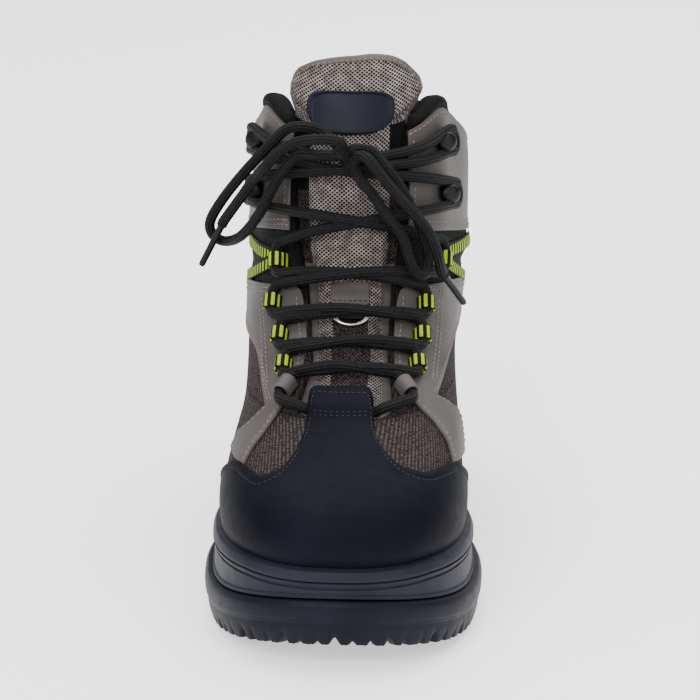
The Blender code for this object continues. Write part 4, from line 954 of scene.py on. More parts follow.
def make_upper():
    """The mesh shell with its throat, its wall and its lining cloth inside."""
    heights = np.unique(np.concatenate([np.linspace(0.0, 0.979, 96), [0.4079, 0.413, 0.426]]))
    edges = np.asarray(THROAT, float)
    lateral = np.interp(heights, edges[:, 0], edges[:, 1])
    medial = np.interp(heights, edges[:, 0], edges[:, 2])
    uncut = heights < 0.408
    lateral = np.where(uncut, 1.0, lateral)
    medial = np.where(uncut, 1.0, medial)
    share = np.linspace(0, 1, 181)
    turn = medial[:, None] + (360 + lateral - medial)[:, None] * share
    height = heights[:, None] + 0 * turn
    points = surface(height, turn, 0 * turn)
    middle = (heights[:-1] + heights[1:]) / 2
    wrapped = np.abs((turn[:-1, :-1] + 180) % 360 - 180)
    zones = ((middle[:, None] > 0.60) & (middle[:, None] < 0.80) & (wrapped > 20)).astype(int)
    zones[middle > 0.70, :2] = 2
    zones[middle > 0.70, -2:] = 2
    made = grid_piece("upper_shell", points, ("mesh", "ankle", "lining", "lining"),
                      outward_at(height, turn), zones=zones, weld=True)
    give_wall(made, WALL, offset=-1.0, inner_paint=2)
    seat(made, "upper_mesh", "upper")


def make_lining():
    """The padded collar, rolled over the rim and sewn down inside."""
    inside = -WALL - GAP
    profile = np.array((
        (0.9840, 0.0013, 0.0), (0.9875, 0.0023, 0.0), (0.9930, 0.0026, 0.0002),
        (0.9985, 0.0019, 0.0006), (1.0, 0.0003, 0.0012), (1.0, -0.0022, 0.0015),
        (1.0, -0.0052, 0.0012), (0.9960, -0.0080, 0.0006), (0.9860, -0.0100, 0.0002),
        (0.9600, -0.0109, 0.0), (0.9200, -0.0105, 0.0), (0.8800, -0.0093, 0.0),
        (0.8450, -0.0070, 0.0), (0.8180, -0.0045, 0.0), (0.8120, inside, 0.0),
        (0.8600, inside, 0.0), (0.9200, inside, 0.0), (0.9770, inside, 0.0),
        (0.9800, -0.0014, 0.0), (0.9840, 0.0013, 0.0)))
    rows = 58
    loop = smooth(np.vstack([profile[-2], profile, profile[1]]),
                  1 + np.linspace(0, len(profile) - 1, rows))
    share = np.linspace(0, 1, 150)
    edge = np.asarray(THROAT, float)
    behind = 1.0 + 9.0 * eased((-loop[:, 1] - 0.0020) / 0.0020)
    start = np.interp(loop[:, 0], edge[:, 0], edge[:, 2]) + behind
    end = 360 + np.interp(loop[:, 0], edge[:, 0], edge[:, 1]) - behind
    turn = start[:, None] + (end - start)[:, None] * share
    centre = loop.mean(0)
    swell = superellipse(np.clip(np.abs(share - 0.5) * 2, 0, 1), 60.0)[None, :]
    height = centre[0] + (loop[:, :1] - centre[0]) * swell
    lift = centre[1] + (loop[:, 1:2] - centre[1]) * swell
    quilt = 0.0004 * np.sin(share[None, :] * pi * 24) * np.interp(
        loop[:, :1], (0.84, 0.90, 0.98), (0.0, 1.0, 0.0))
    side = np.abs((turn + 180) % 360 - 180)
    tuck = 0.0026 * eased((side - 60) / 14) * eased((165 - side) / 20)
    lift = lift - tuck * np.clip((lift + 0.0020) / 0.0020, 0, 1)
    points = surface(height, turn, lift - quilt * (lift < -0.006))
    points[..., 2] += loop[:, 2:3] * swell
    made = grid_piece("collar_roll", points, "lining", weld=True)
    seat_closed(made, 60.0, "lining_cloth", "collar_lining")


def tab_lift(height):
    """How far the cap's tab stands off at a height."""
    table = np.asarray(TAB_LIFT, float)
    return np.interp(height, table[:, 0], table[:, 1])


def cap_rows(soften):
    """Rows from the cap's foot to its edge."""
    edge = np.asarray(CAP_EDGE, float)
    turns = np.linspace(edge[0, 1], edge[-1, 1], len(edge))
    feet = np.column_stack([np.full(len(edge), PANEL_FOOT), turns])
    return even_rows(np.column_stack([feet, edge]), 301, soften)


def make_toe_cap():
    """The rubber cap, with the tab that stands off at the throat."""
    rows = cap_rows(2)
    share = np.linspace(0, 1, 81)
    height, turn = between(rows, share)
    rim = np.linalg.norm(last(rows[:, 2], rows[:, 3]) - last(rows[:, 0], rows[:, 1]), axis=-1)
    lip = 0.00035 * np.exp(-(((1 - share) * rim[:, None] - 0.0012) / 0.0007) ** 2)
    points = surface(height, turn, SEAT + tab_lift(height) + lip)
    made = grid_piece("toe_cap_shell", points, "cap", outward_at(height, turn))
    give_wall(made, TOE_CAP, bevel=0.0006)
    seat(made, "cap_rubber", "toe_cap")


def counter_rows():
    """Rows from the counter's foot to its edge; its turns count from the heel's middle."""
    edge = np.asarray(COUNTER_EDGE, float)
    turns = edge[:, 1] + 180
    return np.column_stack([np.full(len(edge), PANEL_FOOT), turns, edge[:, 0], turns])


def make_counter():
    panel("heel_counter_shell", counter_rows(), 1, 181, 44, SEAT, OVERLAY, "counter",
          "counter_leather", ("heel_counter",))


def make_stays():
    for side, sign, rows in (("lateral", -1, STAY_LATERAL), ("medial", 1, STAY_MEDIAL)):
        panel(f"stay_{side}", rows, sign, 221, 30, SEAT, OVERLAY, "leather",
              "panel_leather", (f"eyestay_{side}",))


def make_straps():
    for side, sign, rows in (("lateral", -1, STRAP_LATERAL), ("medial", 1, STRAP_MEDIAL)):
        panel(f"vamp_panel_{side}", rows, sign, 61, 24, SEAT, OVERLAY, "leather",
              "panel_leather", (f"vamp_strap_{side}",))


def cuff_rows():
    """Rows from the cuff's lower edge to its top, all round."""
    rows = np.asarray(CUFF, float)
    both = np.vstack([rows, rows[-2::-1]])
    turns = np.concatenate([rows[:, 0], 360 - rows[-2::-1, 0]])
    return np.column_stack([both[:, 1], turns, both[:, 2], turns])


def make_cuff():
    panel("cuff_shell", cuff_rows(), 1, 241, 40, SEAT, OVERLAY, "leather",
          "panel_leather", ("cuff",))


# Tongue

def tongue_edge(inset, lift):
    """The tongue's free edge, moved in by a distance, with outward directions."""
    rise = np.linspace(1.0, 2.0, 24)
    share = np.concatenate([-np.ones(24), np.linspace(-1, 1, 160), np.ones(24)])
    height = under_top(np.concatenate([rise, np.full(160, 2.0), rise[::-1]]), share)
    points = tongue_surface(height, share, lift)
    heading = unit(np.gradient(points, axis=0))
    outward = frame_at(np.clip(height, 0, 1), tongue_middle(height) + share * tongue_half_turn(height))[2]
    return points + inset * unit(np.cross(heading, outward)), outward


def binding_width(share):
    return np.interp(share, (-1.0, -0.7, -0.3, 1.0), (0.0024, 0.0030, 0.0040, 0.0038))


def make_tongue():
    """The padded tongue: open mesh, bound edge, dark gussets and a cloth back."""
    columns = 61
    heights = np.concatenate([np.linspace(TONGUE_FOOT, 1.86, 170), np.linspace(1.867, 2.0, 18)])[:, None]
    half = np.sin(np.linspace(-1, 1, columns) * pi / 2 * 0.92) / sin(pi / 2 * 0.92)
    shares = np.concatenate([half, half[-2::-1]])[None, :]
    face = np.concatenate([np.ones(columns), -np.ones(columns - 1)])[None, :]
    level = under_top(heights, shares)
    flat = tongue_surface(level, shares)
    edge = tongue_edge(0.0, 0.0)[0]
    inset = np.linalg.norm(flat[:, :, None, :] - edge[None, None, ::3, :], axis=-1).min(-1)
    width = binding_width(shares)
    end = np.interp(heights, (TONGUE_FOOT, 0.48, 0.56, 2.0), (0.20, 0.35, 0.75, 1.0))
    round_top = superellipse(np.clip((heights - 1.90) / 0.10, 0, 1), 2.0)
    round_side = superellipse(shares, 7.0)
    thick = TONGUE_THICKNESS * end
    bound = (face > 0) * (heights > BINDING_FROM)
    step = 0.0008 * (1 - eased((inset - width + 0.0004) / 0.0008)) * bound
    puff = 0.0012 * eased(inset / 0.010) * np.sin(pi * np.clip((heights - 0.99) / 1.01, 0, 1))
    ridge = face * (thick / 2 + step + puff * (face > 0)) * round_top * round_side
    points = tongue_surface(level, shares, ridge - thick / 2)
    middle = flat[:, columns // 2]
    run = np.concatenate([[0], np.cumsum(np.linalg.norm(np.diff(middle, axis=0), axis=-1))])
    over = np.linalg.norm(np.diff(flat, axis=1), axis=-1)
    across = np.concatenate([np.zeros((len(flat), 1)), np.cumsum(over, axis=1)], axis=1)
    across = across - across[:, columns // 2, None]
    uv = np.stack([across, np.interp(level, level[:, columns // 2], run)], -1)
    off = np.abs(shares) * tongue_half_turn(level)
    cell_height = (heights[:-1] + heights[1:]) / 2
    cell_off = (off[:-1, :-1] + off[1:, 1:]) / 2
    cell_inset = (inset[:-1, :-1] + inset[1:, 1:]) / 2
    zones = np.zeros((len(heights) - 1, shares.shape[1] - 1), int)
    gusset = (cell_height > TONGUE_EDGE_TOP) & (cell_off > GUSSET_HALF)
    zones[(cell_height < TONGUE_CLOTH_TOP) & (cell_off < TONGUE_CLOTH_HALF)] = 1
    zones[(cell_height < TONGUE_EDGE_TOP) & (cell_off > TONGUE_EDGE_HALF)] = 2
    zones[gusset & (cell_height < GUSSET_DARK_FROM)] = 1
    zones[gusset & (cell_height > GUSSET_DARK_FROM) & (cell_height < GUSSET_TOP)] = 3
    zones[(cell_height > BINDING_FROM) & (cell_inset < width[:, :-1])] = 2
    zones[:, face[0, :-1] < 0] = 3
    made = grid_piece("tongue_body", points, ("open", "fine", "leather", "lining"),
                      uv=uv, zones=zones, weld=True)
    close_holes(made)
    smoothed(made, 50.0)
    seat(made, "tongue_mesh", "tongue")


def close_holes(made):
    """Fills the piece's open ends and turns its faces outwards."""
    def fill():
        bpy.ops.mesh.select_mode(type="VERT")
        bpy.ops.mesh.select_all(action="DESELECT")
        bpy.ops.mesh.select_non_manifold(extend=False, use_wire=False, use_multi_face=False,
                                         use_non_contiguous=False, use_verts=False)
        bpy.ops.mesh.fill_holes(sides=0)
        bpy.ops.mesh.select_all(action="SELECT")
        bpy.ops.mesh.normals_make_consistent(inside=False)

    in_edit_mode(made, fill)


def badge_ring(share, lift, count):
    """Points of a rounded oblong on the tongue, at a share of the badge's size."""
    angle = np.linspace(0, 2 * pi, count + 1)
    corner = np.abs(np.cos(angle)) ** BADGE_POWER + np.abs(np.sin(angle)) ** BADGE_POWER
    flat = corner ** (-1 / BADGE_POWER)
    rise = BADGE_PLACE[0] + share * flat * BADGE_HALF[1] * np.sin(angle)
    height = 1 + rise / np.where(rise > 0, TONGUE_RISE, UNDER_RIM)
    degree = float(np.linalg.norm(last(1.0, 1.0) - last(1.0, -1.0))) / 2
    turn = BADGE_PLACE[1] + share * flat * BADGE_HALF[0] * np.cos(angle) / degree
    part = (turn - tongue_middle(height)) / tongue_half_turn(height)
    return tongue_surface(height, part, lift)


def make_badge():
    """A plain moulded badge with a raised rim."""
    face = GAP + 0.0012
    rings = ((0.0, GAP), (0.5, GAP), (0.97, GAP), (1.0, GAP + 0.0004), (1.0, face + 0.0003),
             (0.985, face + 0.0007), (0.955, face + 0.0009), (0.92, face + 0.0008),
             (0.895, face + 0.0003), (0.875, face), (0.82, face), (0.5, face + 0.0001),
             (0.2, face + 0.0001), (0.0, face + 0.0001))
    points = np.array([badge_ring(share, lift, 128) for share, lift in rings])
    made = grid_piece("badge_plate", points, "badge", weld=True)
    seat_closed(made, 40.0, "badge_rubber", "tongue_badge")


def tab_bar():
    """The middle of the ring's bar in the tab's fold, its axes and its lift."""
    low, high = TAB_HEIGHTS
    height = low + BAR_SHARE * (high - low)
    lift = GAP + TAB_SEAT + TAB_FOLD[1][1] / 2
    turn = throat_edges(height)[0]
    centre = surface(height, turn, float(tongue_lift(height, 0.0)) + lift)
    return centre, flat_axes(height, turn), lift


def make_tab():
    """The leather tab on the tongue, folded round the wire ring."""
    low, high = TAB_HEIGHTS
    fold = np.asarray(TAB_FOLD, float)
    share = np.linspace(0, 1, 40)
    thick = np.interp(share, fold[:, 0], fold[:, 1])[:, None]
    half = np.interp(share, fold[:, 0], fold[:, 2])[:, None]
    heights = (low + (high - low) * share)[:, None]
    side = np.linspace(-1, 1, 33)
    shares = np.concatenate([side, side[-2::-1]])[None, :] * half / tongue_half_turn(heights)
    face = np.concatenate([np.ones(33), np.zeros(32)])[None, :]
    soft = superellipse(np.concatenate([side, side[-2::-1]])[None, :], 12.0)
    points = tongue_surface(heights, shares, GAP + TAB_SEAT + face * thick * soft)
    made = grid_piece("ring_tab", points, "leather", weld=True)
    close_holes(made)
    smoothed(made, 45.0)
    seat(made, "panel_leather", "tongue_tab")
    centre, (upward, across, outward), lift = tab_bar()
    half = RING_WIDTH / 2
    depth = 0.82 * half
    tilt = (RING_WIRE / 2 + 4 * GAP - lift) / depth
    path = []
    for angle in np.linspace(pi, 2 * pi, 49):
        down = -depth * sin(angle)
        path.append(centre + across * half * cos(angle) + (outward * tilt - upward) * down)
    path += [centre + across * half * place for place in np.linspace(1, -1, 15)[1:]]
    rings = tube_points(path[:-1], RING_WIRE, 12)
    rings = np.concatenate([rings, rings[:1]])
    made = grid_piece("wire_ring", rings, "steel", weld=True)
    seat_closed(made, 60.0, "ring_steel", "tab_ring")


# Webbing and hooks

def arch_grid(height, turn, length, radius, slant, sink, steps, across):
    """A strap bent over the lace: two legs and a half round, drawn along the lace."""
    upward, sideways, outward = flat_axes(height, turn)
    run = unit(upward * cos(slant) + sideways * sin(slant))
    side = np.cross(run, outward)
    centre = surface(height, turn, LACE_LIFT * LACE)
    drop = LACE_LIFT * LACE - sink
    angle = np.linspace(0, pi, steps)
    profile = [(-radius, -drop), (-radius, -drop / 2)]
    profile += [(-radius * cos(part), radius * sin(part)) for part in angle]
    profile += [(radius, -drop / 2), (radius, -drop)]
    shifts = np.linspace(-0.5, 0.5, across) * length
    rows = []
    for shift in shifts:
        rows.append([centre + side * p + outward * q + run * shift for p, q in profile])
    return np.array(rows), outward


def make_loops():
    """The striped webbing loops and the leather tunnels that hold the lace."""
    bore = LACE + 0.0014
    base = 2 * GAP + OVERLAY + 0.0003
    for number, (height, lateral, medial) in enumerate(LOOP_PLACES, 1):
        for side, turn in (("lateral", lateral), ("medial", medial)):
            points, out = arch_grid(height, turn, LOOP_WIDTH, LACE / 2 + LOOP_ROOM, 0.0,
                                    base - 0.0006, 21, 9)
            made = grid_piece(f"webbing_loop_{side}_{number}", points, "loop", out)
            give_wall(made, LOOP_WALL, bevel=STRAP_BEVEL)
            seat(made, "webbing", f"lace_loop_{side}_{number}")
    height, lateral, medial = TUNNEL_PLACE
    for side, turn, slant in (("lateral", lateral, TUNNEL_SLANT), ("medial", medial, -TUNNEL_SLANT)):
        points, out = arch_grid(height, turn, TUNNEL_LENGTH, bore / 2 - 0.0004, radians(slant),
                                base - 0.0004, 21, 11)
        made = grid_piece(f"leather_tunnel_{side}", points, "leather", out)
        give_wall(made, TUNNEL_WALL, bevel=STRAP_BEVEL)
        seat(made, "panel_leather", f"lace_tunnel_{side}")


def make_webbing():
    """Each ankle webbing: two striped bands from a loop round the lace."""
    front, upper_back, lower_back = WEBBING_HEIGHTS
    for side, sign, turns, apex in (
            ("lateral", -1, WEBBING_TURNS_LATERAL, -ANKLE_PLACE[1]),
            ("medial", 1, WEBBING_TURNS_MEDIAL, ANKLE_PLACE[2])):
        pieces = []
        for order, back in enumerate((upper_back, lower_back)):
            way = np.linspace(0, 1, 90)
            turn = sign * (turns[0] + (turns[1] - turns[0]) * way)
            middle = front + (back - front) * way
            across = np.linspace(-1, 1, 13)
            height = middle[None, :] + WEBBING_HALF * across[:, None]
            turn = turn[None, :] + 0 * height
            points = surface(height, turn, GAP + BAND_WALL * order + 0 * height)
            made = grid_piece(f"ankle_band_{side}_{order + 1}", points, "strap", outward_at(height, turn))
            give_wall(made, BAND_WALL, bevel=STRAP_BEVEL)
            pieces.append(made)
        points, out = arch_grid(ANKLE_PLACE[0], sign * apex, LOOP_WIDTH, LACE / 2 + LOOP_ROOM, 0.0,
                                GAP, 21, 9)
        made = grid_piece(f"ankle_loop_{side}", points, "loop", out)
        give_wall(made, LOOP_WALL, bevel=STRAP_BEVEL)
        for piece in pieces:
            seat(piece, "webbing")
        seat(made, "webbing", f"ankle_webbing_{side}")


def make_hooks():
    """Speed hooks: a riveted foot, a stem for the lace and a glossy domed head."""
    foot = GAP + OVERLAY + GAP
    top, head, stem = HOOK_TOP, HOOK_HEAD / 2, HOOK_STEM / 2
    profile = (
        (0.0, 0.0), (0.5 * HOOK_BASE, 0.0), (0.5 * HOOK_BASE, 0.0005), (0.47 * HOOK_BASE, 0.0009),
        (0.40 * HOOK_BASE, 0.0011), (1.25 * stem, 0.0013), (stem, 0.0020), (stem, top - 0.0042),
        (1.15 * stem, top - 0.0036), (0.80 * head, top - 0.0034), (0.97 * head, top - 0.0029),
        (head, top - 0.0024), (0.95 * head, top - 0.0015), (0.82 * head, top - 0.0008),
        (0.60 * head, top - 0.0003), (0.30 * head, top - 0.0001), (0.0, top))
    angle = np.linspace(0, 2 * pi, 41)[:, None]
    for label, (height, lateral, medial) in zip(("lower", "upper"), HOOK_PLACES):
        for side, turn in (("lateral", lateral), ("medial", medial)):
            upward, across, outward = flat_axes(height, turn)
            centre = surface(height, turn, foot)
            lean = unit(outward * (1 - HOOK_LEAN) + HOOK_LEAN * np.array((0.0, -1.0, 0.15)))
            level = unit(across - lean * np.dot(across, lean))
            steep = np.cross(lean, level)
            rows = []
            for radius, rise in profile:
                if rise < 0.0013:
                    circle = across * np.cos(angle) * 1.15 + upward * np.sin(angle)
                    rows.append(centre + circle * radius + outward * rise)
                else:
                    circle = level * np.cos(angle) + steep * np.sin(angle)
                    rows.append(centre + circle * radius + lean * rise)
            made = grid_piece(f"speed_hook_{side}_{label}", np.array(rows), "hook", weld=True)
            seat_closed(made, 40.0, "hook_metal", f"lace_hook_{side}_{label}")


# Lace

def near(height, turn, up, side):
    """The place at a distance in metres, up and across, from another place."""
    upward, across, _ = flat_axes(height, turn)
    span = 0.01
    climb = (last(height + span, turn) - last(height - span, turn)) / (2 * span)
    swing = (last(height, turn + 1.0) - last(height, turn - 1.0)) / 2
    step = np.linalg.lstsq(np.stack([climb, swing], -1), upward * up + across * side, rcond=None)[0]
    return height + float(step[0]), turn + float(step[1])


def through_strap(height, turn, side, length, slant=0.0):
    """The lace's turn under a strap: in at the foot, out at the head, both to the middle."""
    angles = np.radians((0, 25, 50, 80))
    ups = length / 2 + 0.0001 + LACE_BEND * np.sin(angles)
    inwards = LACE_BEND * (1 - np.cos(angles))
    rows = []
    for up, inward in (*zip(-ups[::-1], inwards[::-1]), *zip(ups, inwards)):
        inward = -side * inward
        place = near(height, turn, up * cos(slant) - inward * sin(slant),
                     up * sin(slant) + inward * cos(slant))
        rows.append((*place, LACE_LIFT))
    return rows


def round_hook(height, turn, side):
    """The lace's turn round a hook's stem, on its outer side."""
    radius = HOOK_STEM / 2 + LACE / 2 + 2 * GAP
    lift = (2 * GAP + OVERLAY + 0.0012 + GAP) / LACE + 0.5
    rows = []
    for angle in (-100, -60, -20, 20, 60, 100):
        up, out = radius * sin(radians(angle)), radius * cos(radians(angle))
        rows.append((*near(height, turn, up, side * out), lift))
    return rows


def strand_stations(first_side):
    """Each place that holds one strand, from the toe up, on alternate sides."""
    side = first_side
    height, lateral, medial = TUNNEL_PLACE
    slant = radians(TUNNEL_SLANT) * -side
    yield through_strap(height, medial if side > 0 else lateral, side, TUNNEL_LENGTH, slant), None
    for height, lateral, medial in (*LOOP_PLACES, ANKLE_PLACE):
        side = -side
        yield through_strap(height, medial if side > 0 else lateral, side, LOOP_WIDTH), "strap"
    for height, lateral, medial in HOOK_PLACES:
        side = -side
        yield round_hook(height, medial if side > 0 else lateral, side), "hook"


def strand(first_side, over, start_lift):
    """Places of one strand, from the bar under the tab to its way into the knot."""
    bar = np.array(BAR_UNDER_TAB)
    rows = [(bar[0, 0], -3.0 * first_side, start_lift)]
    rows += [(height, first_side * turn, lift) for height, turn, lift in bar[1:]]
    for station, kind in strand_stations(first_side):
        if kind:
            start, end = np.array(rows[-1]), np.array(station[0])
            lifts = over if kind == "strap" else tuple(max(pair) for pair in zip(over, SHAFT_OVER))
            for share, lift, arch in zip(CROSSING_SHARES, lifts, CROSSING_ARCH):
                place = start + (end - start) * share
                rows.append((place[0] + arch, place[1], lift))
        rows += station
    height, turn, _ = KNOT_PLACE
    start = np.array(rows[-1])
    end = np.array((height + 0.002, turn + 14.0 * np.sign(start[1])))
    for share, lift in ((0.5, 1.32), (1.0, 1.25)):
        rows.append((*(start[:2] + (end - start[:2]) * share), lift))
    return np.asarray(rows, float)


def knot_centre():
    height, turn, lift = KNOT_PLACE
    return surface(height, turn, lift * LACE)


def from_knot(toward, inside=0.0):
    """Where a cord leaves the knot on its way to a point."""
    height, turn, _ = KNOT_PLACE
    upward, sideways, outward = frame_at(height, turn)
    centre = knot_centre()
    way = unit(np.asarray(toward, float) - centre)
    local = np.stack([sideways, upward, outward]) @ way / np.array(KNOT_HALF)
    return centre + way * (1 / np.linalg.norm(local) + 3 * GAP - inside)


def make_lacing():
    """Both strands of the lace, from under the tab to the knot."""
    for name, side, over, lift, nodes in (
            ("lace_first", -1, FIRST_OVER, -0.17, ("lacing",)), ("lace_second", 1, SECOND_OVER, -0.08, ())):
        rows = strand(side, over, lift)
        points = surface(rows[:, 0], rows[:, 1], rows[:, 2] * LACE)
        points = np.vstack([points, from_knot(points[-1], 0.004)])
        made = cord_tube(name, dense(points, 5), LACE, "cord")
        seat(made, "cord", *nodes)


def bow_points(rows):
    """Points of the bow from shares of the boot's width, length and height."""
    rows = np.asarray(rows, float)
    x = rows[..., 0] * UPPER_WIDTH
    y = HEEL_REACH - rows[..., 1] * LENGTH
    return np.stack([x, y, FEATHER_HEIGHT + rows[..., 2] * UPPER_RISE], -1)


def make_knot():
    """The knot: the lace wound over itself, held to the knot's own size."""
    height, turn, _ = KNOT_PLACE
    upward, sideways, outward = flat_axes(height, turn)
    t = np.linspace(0, 2 * pi, 121)
    wind = np.stack([np.sin(t) + 2 * np.sin(2 * t), np.cos(t) - 2 * np.cos(2 * t), -np.sin(3 * t)], -1)
    wind = wind / np.array((3.0, 3.0, 1.0)) * (np.array(KNOT_HALF) - LACE / 2 + 0.0003)
    path = knot_centre() + wind[:, :1] * sideways + wind[:, 1:2] * upward + wind[:, 2:] * outward
    rings = tube_points(path[:-1], LACE, 14)
    rings = np.concatenate([rings, rings[:1]])
    run = path_lengths(path)
    uv = np.stack(np.broadcast_arrays(run[:, None], np.linspace(0, 1, 15)[None, :]), -1)
    made = grid_piece("knot", rings, "cord", uv=uv, weld=True)
    return seat_closed(made, 60.0, "cord", "lace_knot")


def make_bow():
    """The knot, the bow's two loops and the lace's two ends with their tips."""
    knot = make_knot()
    for side, rows in (("lateral", BOW_LOOP_LATERAL), ("medial", BOW_LOOP_MEDIAL)):
        points = bow_points(rows)
        points = np.vstack([from_knot(points[0], 0.0025), points, from_knot(points[-1], 0.0025)])
        path = dense(points, 6)
        made = cord_tube(f"bow_{side}", path, LACE, "cord")
        seat(made, "cord", f"bow_loop_{side}")
        tuple(path[0])
    for side, rows, place in (
            ("lateral", LACE_END_LATERAL, TIP_LATERAL), ("medial", LACE_END_MEDIAL, TIP_MEDIAL)):
        points = bow_points(rows)
        way = unit(bow_points(place) - points[-1])
        end = points[-1] + way * 0.0030
        path = dense(np.vstack([from_knot(points[0], 0.0025), points, end]), 6)
        made = cord_tube(f"end_{side}", path, LACE, "cord")
        start = end + way * GAP
        shape = ((0.0, 1.12), (0.06, 1.0), (0.5, 0.97), (0.94, 0.95), (1.0, 0.80))
        spine = [start + way * AGLET_LENGTH * place for place, _ in shape]
        rings = tube_points(spine, AGLET, 20)
        centres = np.array(spine)[:, None, :]
        rings = centres + (rings - centres) * np.array([size for _, size in shape])[:, None, None]
        rings = np.concatenate([centres[:1] + 0 * rings[:1], rings, centres[-1:] + 0 * rings[-1:]])
        tip = grid_piece(f"tip_{side}", rings, "tip", weld=True)
        seat_closed(tip, 40.0, "aglet_plastic", f"aglet_{side}")
        seat(made, "cord", f"lace_end_{side}")
        tuple(path[0])


# Sole

def sole_floor(y):
    """Height of the lugs' tips over the floor: flat, but for toe spring and heel bevel."""
    reach = HEEL_REACH - y
    toe = np.clip((reach - SPRING_START) / (LENGTH - SPRING_START), 0, 1)
    heel = np.clip((BEVEL_END - reach) / BEVEL_END, 0, 1)
    return TOE_SPRING * toe**2 + HEEL_BEVEL * heel**2


def sole_ring(reach, height, from_top=False, turns=240):
    """The feather line moved out by reach, at a height over the floor line or the top."""
    angle = np.arange(turns) * 360 / turns
    base = last(0.0, angle)
    tangent = last(0.0, angle + 1.5) - last(0.0, angle - 1.5)
    out = unit(np.stack([-tangent[:, 1], tangent[:, 0], 0 * angle], -1)) * -1
    ring = base + out * reach
    level = base[:, 2] if from_top else sole_floor(ring[:, 1])
    ring[:, 2] = level + height
    return ring


def stack_piece(name, rings, paint, turns=240):
    """A closed stack of rings whose caps join the ring's two sides in strips."""
    mesh_data = bmesh.new()
    rows = [[mesh_data.verts.new(point) for point in ring] for ring in rings]
    for low, high in zip(rows, rows[1:]):
        for i in range(turns):
            j = (i + 1) % turns
            mesh_data.faces.new((low[i], low[j], high[j], high[i]))
    for row in (rows[0], rows[-1]):
        for i in range(turns // 2):
            corners = [row[i], row[i + 1], row[(turns - i - 1) % turns], row[(turns - i) % turns]]
            mesh_data.faces.new(list(dict.fromkeys(corners)))
    return smoothed(built(name, mesh_data, paint), 30.0)


def add_tooth(mesh_data, centre, size, heading, height):
    """One tooth of a lug: a block with a narrower tip."""
    made = bmesh.ops.create_cube(mesh_data, size=1.0)
    way = Vector((cos(heading), sin(heading), 0.0))
    side = Vector((-sin(heading), cos(heading), 0.0))
    for corner in made["verts"]:
        low = corner.co.z < 0
        run = corner.co.x * size[0] * (0.80 if low else 1.0)
        deep = corner.co.y * size[1] * (0.90 if low else 1.0)
        corner.co = Vector(centre) + way * run + side * deep + Vector((0, 0, (corner.co.z + 0.5) * height))


def notch_depths(run, total):
    """Depth of the notches along the lug wall: deep ones between lugs, small ones between teeth."""
    rng = np.random.default_rng(7)
    teeth = 3 * EDGE_LUGS
    depth = 0.0003 * rng.random(len(run))
    for k in range(teeth):
        place = (k + 0.16 * (rng.random() - 0.5)) * total / teeth
        off = np.abs((run - place + total / 2) % total - total / 2)
        deep, wide = (0.0040, 0.0026) if k % 3 == 0 else (0.0016 + 0.0012 * rng.random(), 0.0019)
        depth = np.maximum(depth, deep * (1 - off / wide))
    return depth


def make_lug_wall(reach, base):
    """The lugs round the edge: one wall, flush with the cup, cut by notches from below."""
    turns = 1280
    outer = sole_ring(reach - 0.0020, 0.0, turns=turns)
    run = path_lengths(outer)
    total = float(run[-1] + np.linalg.norm(outer[0] - outer[-1]))
    cut = notch_depths(run, total)
    profile = (
        (0.0014, base - 0.0012, 0.0), (0.0012, 0.0070, 0.0), (0.0016, 0.0046, 0.3), (0.0023, 0.0022, 0.8),
        (0.0029, 0.0005, 1.0), (0.0034, 0.0, 1.0), (0.0060, 0.0, 1.0), (0.0100, 0.0, 1.0),
        (0.0108, 0.0006, 1.0), (0.0114, 0.0030, 0.5), (0.0116, 0.0064, 0.0))
    rings = []
    for inset, height, share in profile:
        ring = sole_ring(reach - inset, 0.0, turns=turns)
        ring[:, 2] += height + np.maximum(0, cut * share)
        rings.append(ring)
    rings.append(rings[0])
    points = np.array(rings)
    points = np.concatenate([points, points[:, :1]], axis=1)
    made = grid_piece("lug_wall", points, "sole", weld=True)
    seat_closed(made, 30.0, "outsole_rubber")


